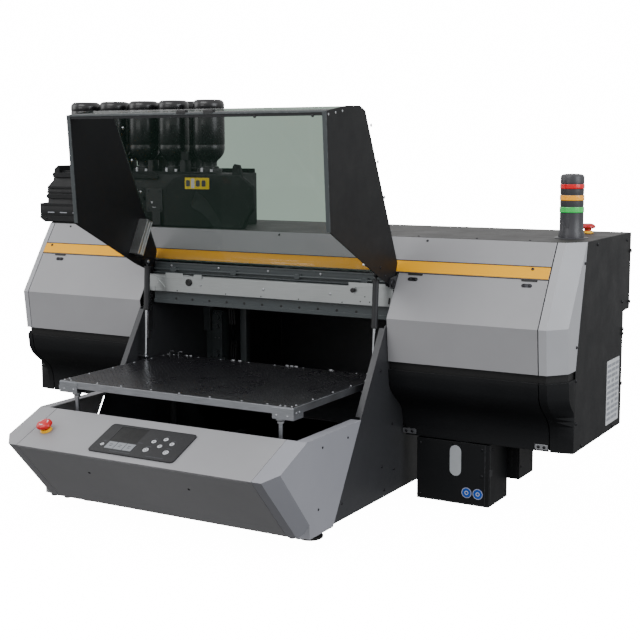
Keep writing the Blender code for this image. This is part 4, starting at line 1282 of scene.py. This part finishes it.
def build_rack():
    """Face plate, ledges, sockets, screws and plain labels of the ink rack."""
    plate = [(-411, 651), (-411, 756), (-396, 770), (-372, 789), (-344, 797.5), (-154, 797.5),
             (-139, 789), (-108, 767), (-108, 704), (-126, 682), (-141, 651)]
    piece("rack_face_plate", [prism(plate, RACK_FACE - 4, RACK_FACE - 0.2, "y")], BLACK,
          bevel=1.4)
    side = [prism(rounded((-474, 690), (-416, 757), 3, 3), RACK_FACE - 3, RACK_FACE - 0.2, "y"),
            box((-452, RACK_FACE - 4.5, 652), (-424, RACK_FACE - 0.2, 690))]
    piece("rack_latch_plate", side, STEEL_BLACK, bevel=0.8)
    ledges = [prism(rounded((-884, 699.5), (-482, 706), 2.5, 3), 545, 548.2, "y"),
              prism(rounded((-855, 722), (-482, 734), 4, 4), 542.5, 548.2, "y"),
              prism(rounded((-855, 738), (-482, 743), 2, 3), 544.5, 548.2, "y"),
              prism(rounded((-850, 752), (-482, 758), 2, 3), 543.5, 548.2, "y"),
              prism(rounded((-827, 786), (-430, 799.5), 3, 3), 542, 548.2, "y"),
              prism([(-872, 652), (-886, 661), (-886, 668), (-482, 668), (-482, 652)], 545.4, 548.2, "y")]
    piece("rack_ledges", ledges, BLACK, bevel=0.9)
    hooks = [prism([(-178, 797), (-175, 822), (-170, 829), (-152, 826), (-143, 795)], 550, 559, "y"),
             prism([(-830, 797), (-826, 812), (-812, 822), (-806, 820), (-806, 797)], 550, 640, "y"),
             box((-806, 560, 799), (-240, 566, 806)), box((-806, 760, 799), (-240, 766, 812))]
    piece("rack_top_hooks", hooks, BLACK, bevel=1.6)
    # Pale dashes at the slots: painted highlights.
    highlight_dashes = []
    for start, end in ((-856, -829), (-807.5, -779.5), (-757, -731), (-707, -681), (-657, -631)):
        highlight_dashes.append(prism(rounded((start, 677.4), (end, 680.4), 1.4, 3), RACK_FACE - 0.5,
                           RACK_FACE - 0.1, "y"))
    piece("rack_slot_painted_highlights", highlight_dashes, PRINT_GREY_AND_PAINTED_HIGHLIGHT)
    holders = []
    for x, y in BOTTLES:
        holders.append(lathe([(27.8, 798), (36, 798), (36, 812), (33.5, 815), (27.8, 815), (27.8, 798)],
                             32, Matrix.Translation((x, y, 0))))
    for x in (-692, -582, -474, -358):
        holders.append(prism(rounded((x - 9, 566), (x + 9, 596), 3, 3), 799, 838, "z"))
    for x in (-636, -506, -370):
        holders.append(prism(rounded((x - 10, 660), (x + 10, 700), 3, 3), 799, 846, "z"))
    piece("bottle_sockets", holders, PLASTIC, bevel=0.8)
    tabs = []
    for x, y in BOTTLES[:5]:
        tabs.append(prism(rounded((x - 3.4, y - 40), (x + 3.4, y - 36.4), 0.8, 2), 798, 817, "z"))
        tabs.append(prism(rounded((x + 24, y - 33), (x + 33, y - 31), 0.8, 2), 806, 813, "z"))
    piece("socket_tabs", tabs, PALE_MARK_AND_PAINTED_GLINT)
    piece("reader_boards", [box((-362, 566, 838), (-336, 578, 862))], BLACK,
          bevel=0.8)
    bits = []
    for x, z in ((-466, 697), (-424, 697), (-466, 750), (-424, 750), (-425, 660), (-446, 660)):
        bits.append(screw((x, RACK_FACE - 3.1, z), FRONT, 2.8, 1.6))
    for x, z in ((-400, 660), (-148, 664), (-118, 710), (-118, 760), (-400, 752), (-360, 782)):
        bits.append(screw((x, RACK_FACE - 4, z), FRONT, 2.6, 1.4))
    for x in (-860, -680, -500):
        bits.append(screw((x, 545.4, 660), FRONT, 2.8, 1.6))
    piece("rack_screws", bits, SCREW)
    # Pale specks on the latch plate: painted glints.
    glints = [prism([(-457, 720), (-450, 720), (-453.5, 713)], RACK_FACE - 3.4, RACK_FACE - 2.9, "y"),
              box((-452, RACK_FACE - 3.4, 703), (-440, RACK_FACE - 2.9, 704.4))]
    piece("latch_painted_glints", glints, PALE_MARK_AND_PAINTED_GLINT)
    label = [prism(rounded((-334, 758), (-250, 790), 1.5, 3), RACK_FACE - 4.4, RACK_FACE - 3.9, "y")]
    piece("rack_label", label, YELLOW_LABEL)
    patches = [prism(rounded((-312, 760.5), (-301, 787.5), 1, 3), RACK_FACE - 4.7, RACK_FACE - 4.3, "y")]
    piece("rack_label_patch", patches, PAPER)
    marks = [prism(rounded((x, 765), (x + 14, 783), 4, 4), RACK_FACE - 4.7, RACK_FACE - 4.3, "y")
             for x in (-330, -296, -276)]
    piece("rack_label_marks", marks, KEY_MARK)
    brackets = []
    for x in (-760, -600, -440, -270):
        brackets.append(prism([(768, 652), (786, 652), (786, 655), (771, 655), (771, 720), (768, 720)],
                              x - 18, x + 18))
    piece("rack_feet", brackets, STEEL_BLACK, bevel=0.5)


build_bottles()
build_rack()


# =====================================================================================
# Hood
# =====================================================================================
HOOD_HALF = 379.5
HOOD_INNER = HOOD_HALF - 3.0


def build_hood_fittings():
    """Rivets, side screws, strut channels, painted edge highlights and front clips of the hood."""
    rivets = [(326.1, 928), (361.5, 840.7), (397.4, 753.9), (433.5, 666.2)]
    bright, dark = [], []
    for side in (-1, 1):
        for y, z in rivets:
            bright.append(lathe([(0, -0.2), (4.2, -0.2), (4.0, 1.0), (2.6, 1.9), (0, 2.2)], 18,
                                toward((side * HOOD_INNER, y, z), (-side, 0, 0))))
        for y, z in ((372.7, 582.8), (397.5, 559.4)):
            dark.append(screw((side * HOOD_HALF, y, z), (side, 0, 0), 3.4, 1.8))
        for y, z in ((113.6, 950), (146.2, 954.6), (178, 958.8)):
            bright.append(disc((side * HOOD_HALF, y, z), (side, 0, 0), 3.0, 0.8, 14))
    piece("hood_rivets", bright, BRIGHT, "hood")
    piece("hood_side_screws", dark, SCREW, "hood")
    along = Vector((0, 47, 90)).normalized()
    channels, ends = [], []
    for side in (-1, 1):
        ridge = []
        base = [(339.6, 590.2), (387.0, 681.0), (409.6, 672.0), (366.2, 581.4)]
        low, high = sorted((side * 347.6, side * 376.4))
        ridge.append(prism(base, low, high))
        for offset in (0.0, 12.0, 20.0):
            y, z = 339.6 + offset, 590.2 - offset * 0.33
            start = Vector((0, y, z))
            end = start + along * 98
            wide = Vector((0, 3.2, -1.2))
            points = [(start.y, start.z), (end.y, end.z), ((end + wide).y, (end + wide).z),
                      ((start + wide).y, (start + wide).z)]
            low, high = sorted((side * 345.8, side * 350))
            ridge.append(prism(points, low, high))
        channels += ridge
        for reach in (10, 50, 90):
            center = Vector((side * 347.4, 355.5, 588.4)) + along * reach
            ends.append(screw(center, (-side, 0, 0), 2.6, 1.4))
    piece("hood_channels", channels, ALUMINIUM, "hood", 0.6)
    piece("hood_channel_screws", ends, ZINC, "hood")
    # Lighter strips along the front bar and the window's side edges: painted highlights.
    highlight_strips = [prism([(104.6, 954.5), (106.6, 954.5), (107, 957.6), (105.2, 959)], -375, 375)]
    for side in (-1, 1):
        low, high = sorted((side * 368, side * 379.2))
        highlight_strips.append(prism([(105, 957.4), (107.4, 957.4), (125.4, 684.4), (123, 684.4)], low, high))
    piece("hood_edge_painted_highlight", highlight_strips, RAIL, "hood", 0.4)
    lumps = [prism([(104, 956), (104, 963), (108, 966), (116, 966), (116, 956)], low, low + 26)
             for low in (-34, 45)]
    lumps += [disc((x, 106.6, 947), FRONT, 3.2, 2.0, 14) for x in (188.3, 343.4)]
    piece("hood_front_clips", lumps, PLASTIC, "hood", 0.6)


build_hood_fittings()


# =====================================================================================
# Signal tower
# =====================================================================================
TOWER_PLACE = (762.0, 667.0)
LAMPS = (("red", LAMP_RED, 773.0, 782.5), ("amber", LAMP_AMBER, 744.0, 755.0),
         ("green", LAMP_GREEN, 714.0, 726.0))


def build_tower():
    """The signal tower, its three lamps and its foot."""
    where = Matrix.Translation((*TOWER_PLACE, 0))
    low = COVER_TOP + 0.3
    wide, groove = 29.5, 28.6
    profile = [(0, 809), (14, 808.8), (23, 807.6), (27.4, 805.2), (wide, 801), (wide, 785)]
    for top, bottom in ((784.2, 771.5), (756.7, 742.3), (727.7, 712.2)):
        profile += [(groove, top), (groove, bottom), (wide, bottom - 0.8), (wide, bottom - 10)]
    profile += [(wide, 670), (32.2, 662), (32.2, low), (0, low)]
    piece("tower_body", [lathe(profile, 48)], TOWER, frame=where,
          replaces=("signal_tower",))
    for name, material, bottom, top in LAMPS:
        rings = [(28.8, bottom - 0.8), (29.9, bottom - 0.8)]
        steps = 4
        for step in range(steps):
            z = bottom + (top - bottom) * step / steps
            rise = (top - bottom) / steps
            rings += [(30.6, z + rise * 0.2), (30.6, z + rise * 0.65), (30.0, z + rise * 0.95)]
        rings += [(29.9, top + 0.8), (28.8, top + 0.8), (28.8, bottom - 0.8)]
        piece(f"tower_lamp_{name}", [lathe(rings, 48)], material, frame=where)
    bits = [screw((TOWER_PLACE[0] + 36 * math.cos(a), TOWER_PLACE[1] + 36 * math.sin(a), COVER_TOP),
                  UP, 3.0, 1.8) for a in (0.8, 2.4, 3.9, 5.5)]
    piece("tower_screws", bits, SCREW)
    flange = [lathe([(0, COVER_TOP - 0.2), (42, COVER_TOP - 0.2), (42, COVER_TOP + 1.6),
                     (40, COVER_TOP + 2.4), (0, COVER_TOP + 2.4)], 48, where)]
    piece("tower_flange", flange, TOWER, bevel=0.3)
    tab = [box((758, 636.4, 676), (766, 640, 700))]
    piece("tower_key_tab", tab, TOWER, bevel=0.8)


build_tower()


# =====================================================================================
# Floor, camera and light
# =====================================================================================
FLOOR_GLOW = 15.0
BACKDROP = 16.0
BEHIND_GLASS = 0.8
SKY_ABOVE = 1.0
SKY_BELOW = 0.08
SKY_STRENGTH = 1.0
FLOOR_REACH = 2.9
GLASS_TINT = (0.80, 1.0, 0.86, 1)
LENS = 69.46
LENS_SHIFT = (-0.0016, -0.0148)
CAMERA_TURN = (29.995, 7.774, -0.196)       # azimuth, downward pitch and roll, in degrees
CAMERA_PLACE = (1.7861, -2.80335, 0.9248)


def build_stage():
    """The white floor, which lights nothing and dims behind the hood's glass."""
    mesh = bpy.data.meshes.new("floor")
    corners = [(x * FLOOR_REACH, y * FLOOR_REACH, 0) for x, y in ((-1, -1), (1, -1), (1, 1), (-1, 1))]
    mesh.from_pydata(corners, [], [(0, 1, 2, 3)])
    floor = bpy.data.objects.new("floor", mesh)
    bpy.context.scene.collection.objects.link(floor)
    nodes = Nodes("floor_paper")
    nodes.color(nodes.mix(nodes.noise(0.8, 3), (0.93, 0.93, 0.93, 1), (0.96, 0.96, 0.96, 1)))
    nodes.set(Roughness=0.9, Specular_IOR_Level=0.0, Emission_Color=(1, 1, 1, 1))
    depth = nodes.add("ShaderNodeLightPath").outputs["Transparent Depth"]
    nodes.link(nodes.remap(depth, 0, 1, FLOOR_GLOW, BEHIND_GLASS), nodes.shader.inputs["Emission Strength"])
    mesh.materials.append(nodes.material)
    floor.visible_diffuse = False
    floor.visible_glossy = False


def build_world():
    """A bright soft sky, dim from below; the backdrop that the camera sees is plain white."""
    world = bpy.data.worlds.new("studio")
    bpy.context.scene.world = world
    world.use_nodes = True
    tree = world.node_tree
    background = tree.nodes["Background"]
    out = tree.nodes["World Output"]
    place = tree.nodes.new("ShaderNodeTexCoord")
    split = tree.nodes.new("ShaderNodeSeparateXYZ")
    ramp = tree.nodes.new("ShaderNodeValToRGB")
    shift = tree.nodes.new("ShaderNodeMapRange")
    tree.links.new(place.outputs["Generated"], split.inputs[0])
    tree.links.new(split.outputs["Z"], shift.inputs[0])
    shift.inputs[1].default_value = -1.0
    shift.inputs[2].default_value = 1.0
    tree.links.new(shift.outputs[0], ramp.inputs[0])
    ramp.color_ramp.elements[0].position = 0.30
    ramp.color_ramp.elements[0].color = (*(SKY_BELOW,) * 3, 1)
    ramp.color_ramp.elements[1].position = 0.62
    ramp.color_ramp.elements[1].color = (*(SKY_ABOVE,) * 3, 1)
    tree.links.new(ramp.outputs[0], background.inputs["Color"])
    background.inputs["Strength"].default_value = SKY_STRENGTH
    white = tree.nodes.new("ShaderNodeBackground")
    tint = tree.nodes.new("ShaderNodeMix")
    tint.data_type = "RGBA"
    tint.inputs[6].default_value = (1, 1, 1, 1)
    tint.inputs[7].default_value = GLASS_TINT
    path = tree.nodes.new("ShaderNodeLightPath")
    dim = tree.nodes.new("ShaderNodeMapRange")
    dim.inputs[3].default_value = BACKDROP
    dim.inputs[4].default_value = BEHIND_GLASS
    tree.links.new(path.outputs["Transparent Depth"], dim.inputs[0])
    tree.links.new(dim.outputs[0], white.inputs["Strength"])
    tree.links.new(path.outputs["Transparent Depth"], tint.inputs[0])
    tree.links.new(tint.outputs[2], white.inputs["Color"])
    mix = tree.nodes.new("ShaderNodeMixShader")
    tree.links.new(path.outputs["Is Camera Ray"], mix.inputs[0])
    tree.links.new(background.outputs[0], mix.inputs[1])
    tree.links.new(white.outputs[0], mix.inputs[2])
    tree.links.new(mix.outputs[0], out.inputs["Surface"])


def area_light(name, place, target, size, power, color=(1, 1, 1)):
    """A large soft panel aimed at a point."""
    light = bpy.data.lights.new(name, "AREA")
    light.shape = "RECTANGLE"
    light.size, light.size_y = size
    light.energy = power
    light.color = color
    obj = bpy.data.objects.new(name, light)
    bpy.context.scene.collection.objects.link(obj)
    obj.location = place
    aim = Vector(target) - Vector(place)
    obj.rotation_euler = aim.to_track_quat("-Z", "Y").to_euler()


def build_camera():
    """The camera, placed by its turn about the vertical, its pitch and its roll."""
    camera = bpy.data.cameras.new("camera")
    camera.sensor_width = 36.0
    camera.lens = LENS
    camera.shift_x, camera.shift_y = LENS_SHIFT
    camera.clip_end = 200
    obj = bpy.data.objects.new("camera", camera)
    bpy.context.scene.collection.objects.link(obj)
    azimuth, pitch, roll = (math.radians(a) for a in CAMERA_TURN)
    forward = Vector((-math.sin(azimuth) * math.cos(pitch), math.cos(azimuth) * math.cos(pitch),
                      -math.sin(pitch)))
    level = Vector((math.cos(azimuth), math.sin(azimuth), 0))
    upright = level.cross(forward)
    right = level * math.cos(roll) + upright * math.sin(roll)
    up = -level * math.sin(roll) + upright * math.cos(roll)
    rows = [(right[k], up[k], -forward[k], CAMERA_PLACE[k]) for k in range(3)]
    obj.matrix_world = Matrix((*rows, (0, 0, 0, 1)))
    bpy.context.scene.camera = obj


build_stage()
build_world()
area_light("key", (-0.6, -2.6, 3.2), (0, 0, 0.4), (2.6, 1.8), 54)
area_light("right_fill", (3.4, -0.6, 1.6), (0.2, 0, 0.4), (2.0, 2.0), 50, (0.93, 0.96, 1.0))
area_light("left_fill", (-3.2, -1.2, 1.6), (-0.2, 0, 0.5), (1.6, 2.0), 20)
area_light("throat_fill", (-0.9, -3.2, 1.25), (0.05, 0.3, 0.3), (1.6, 0.7), 9)
build_camera()
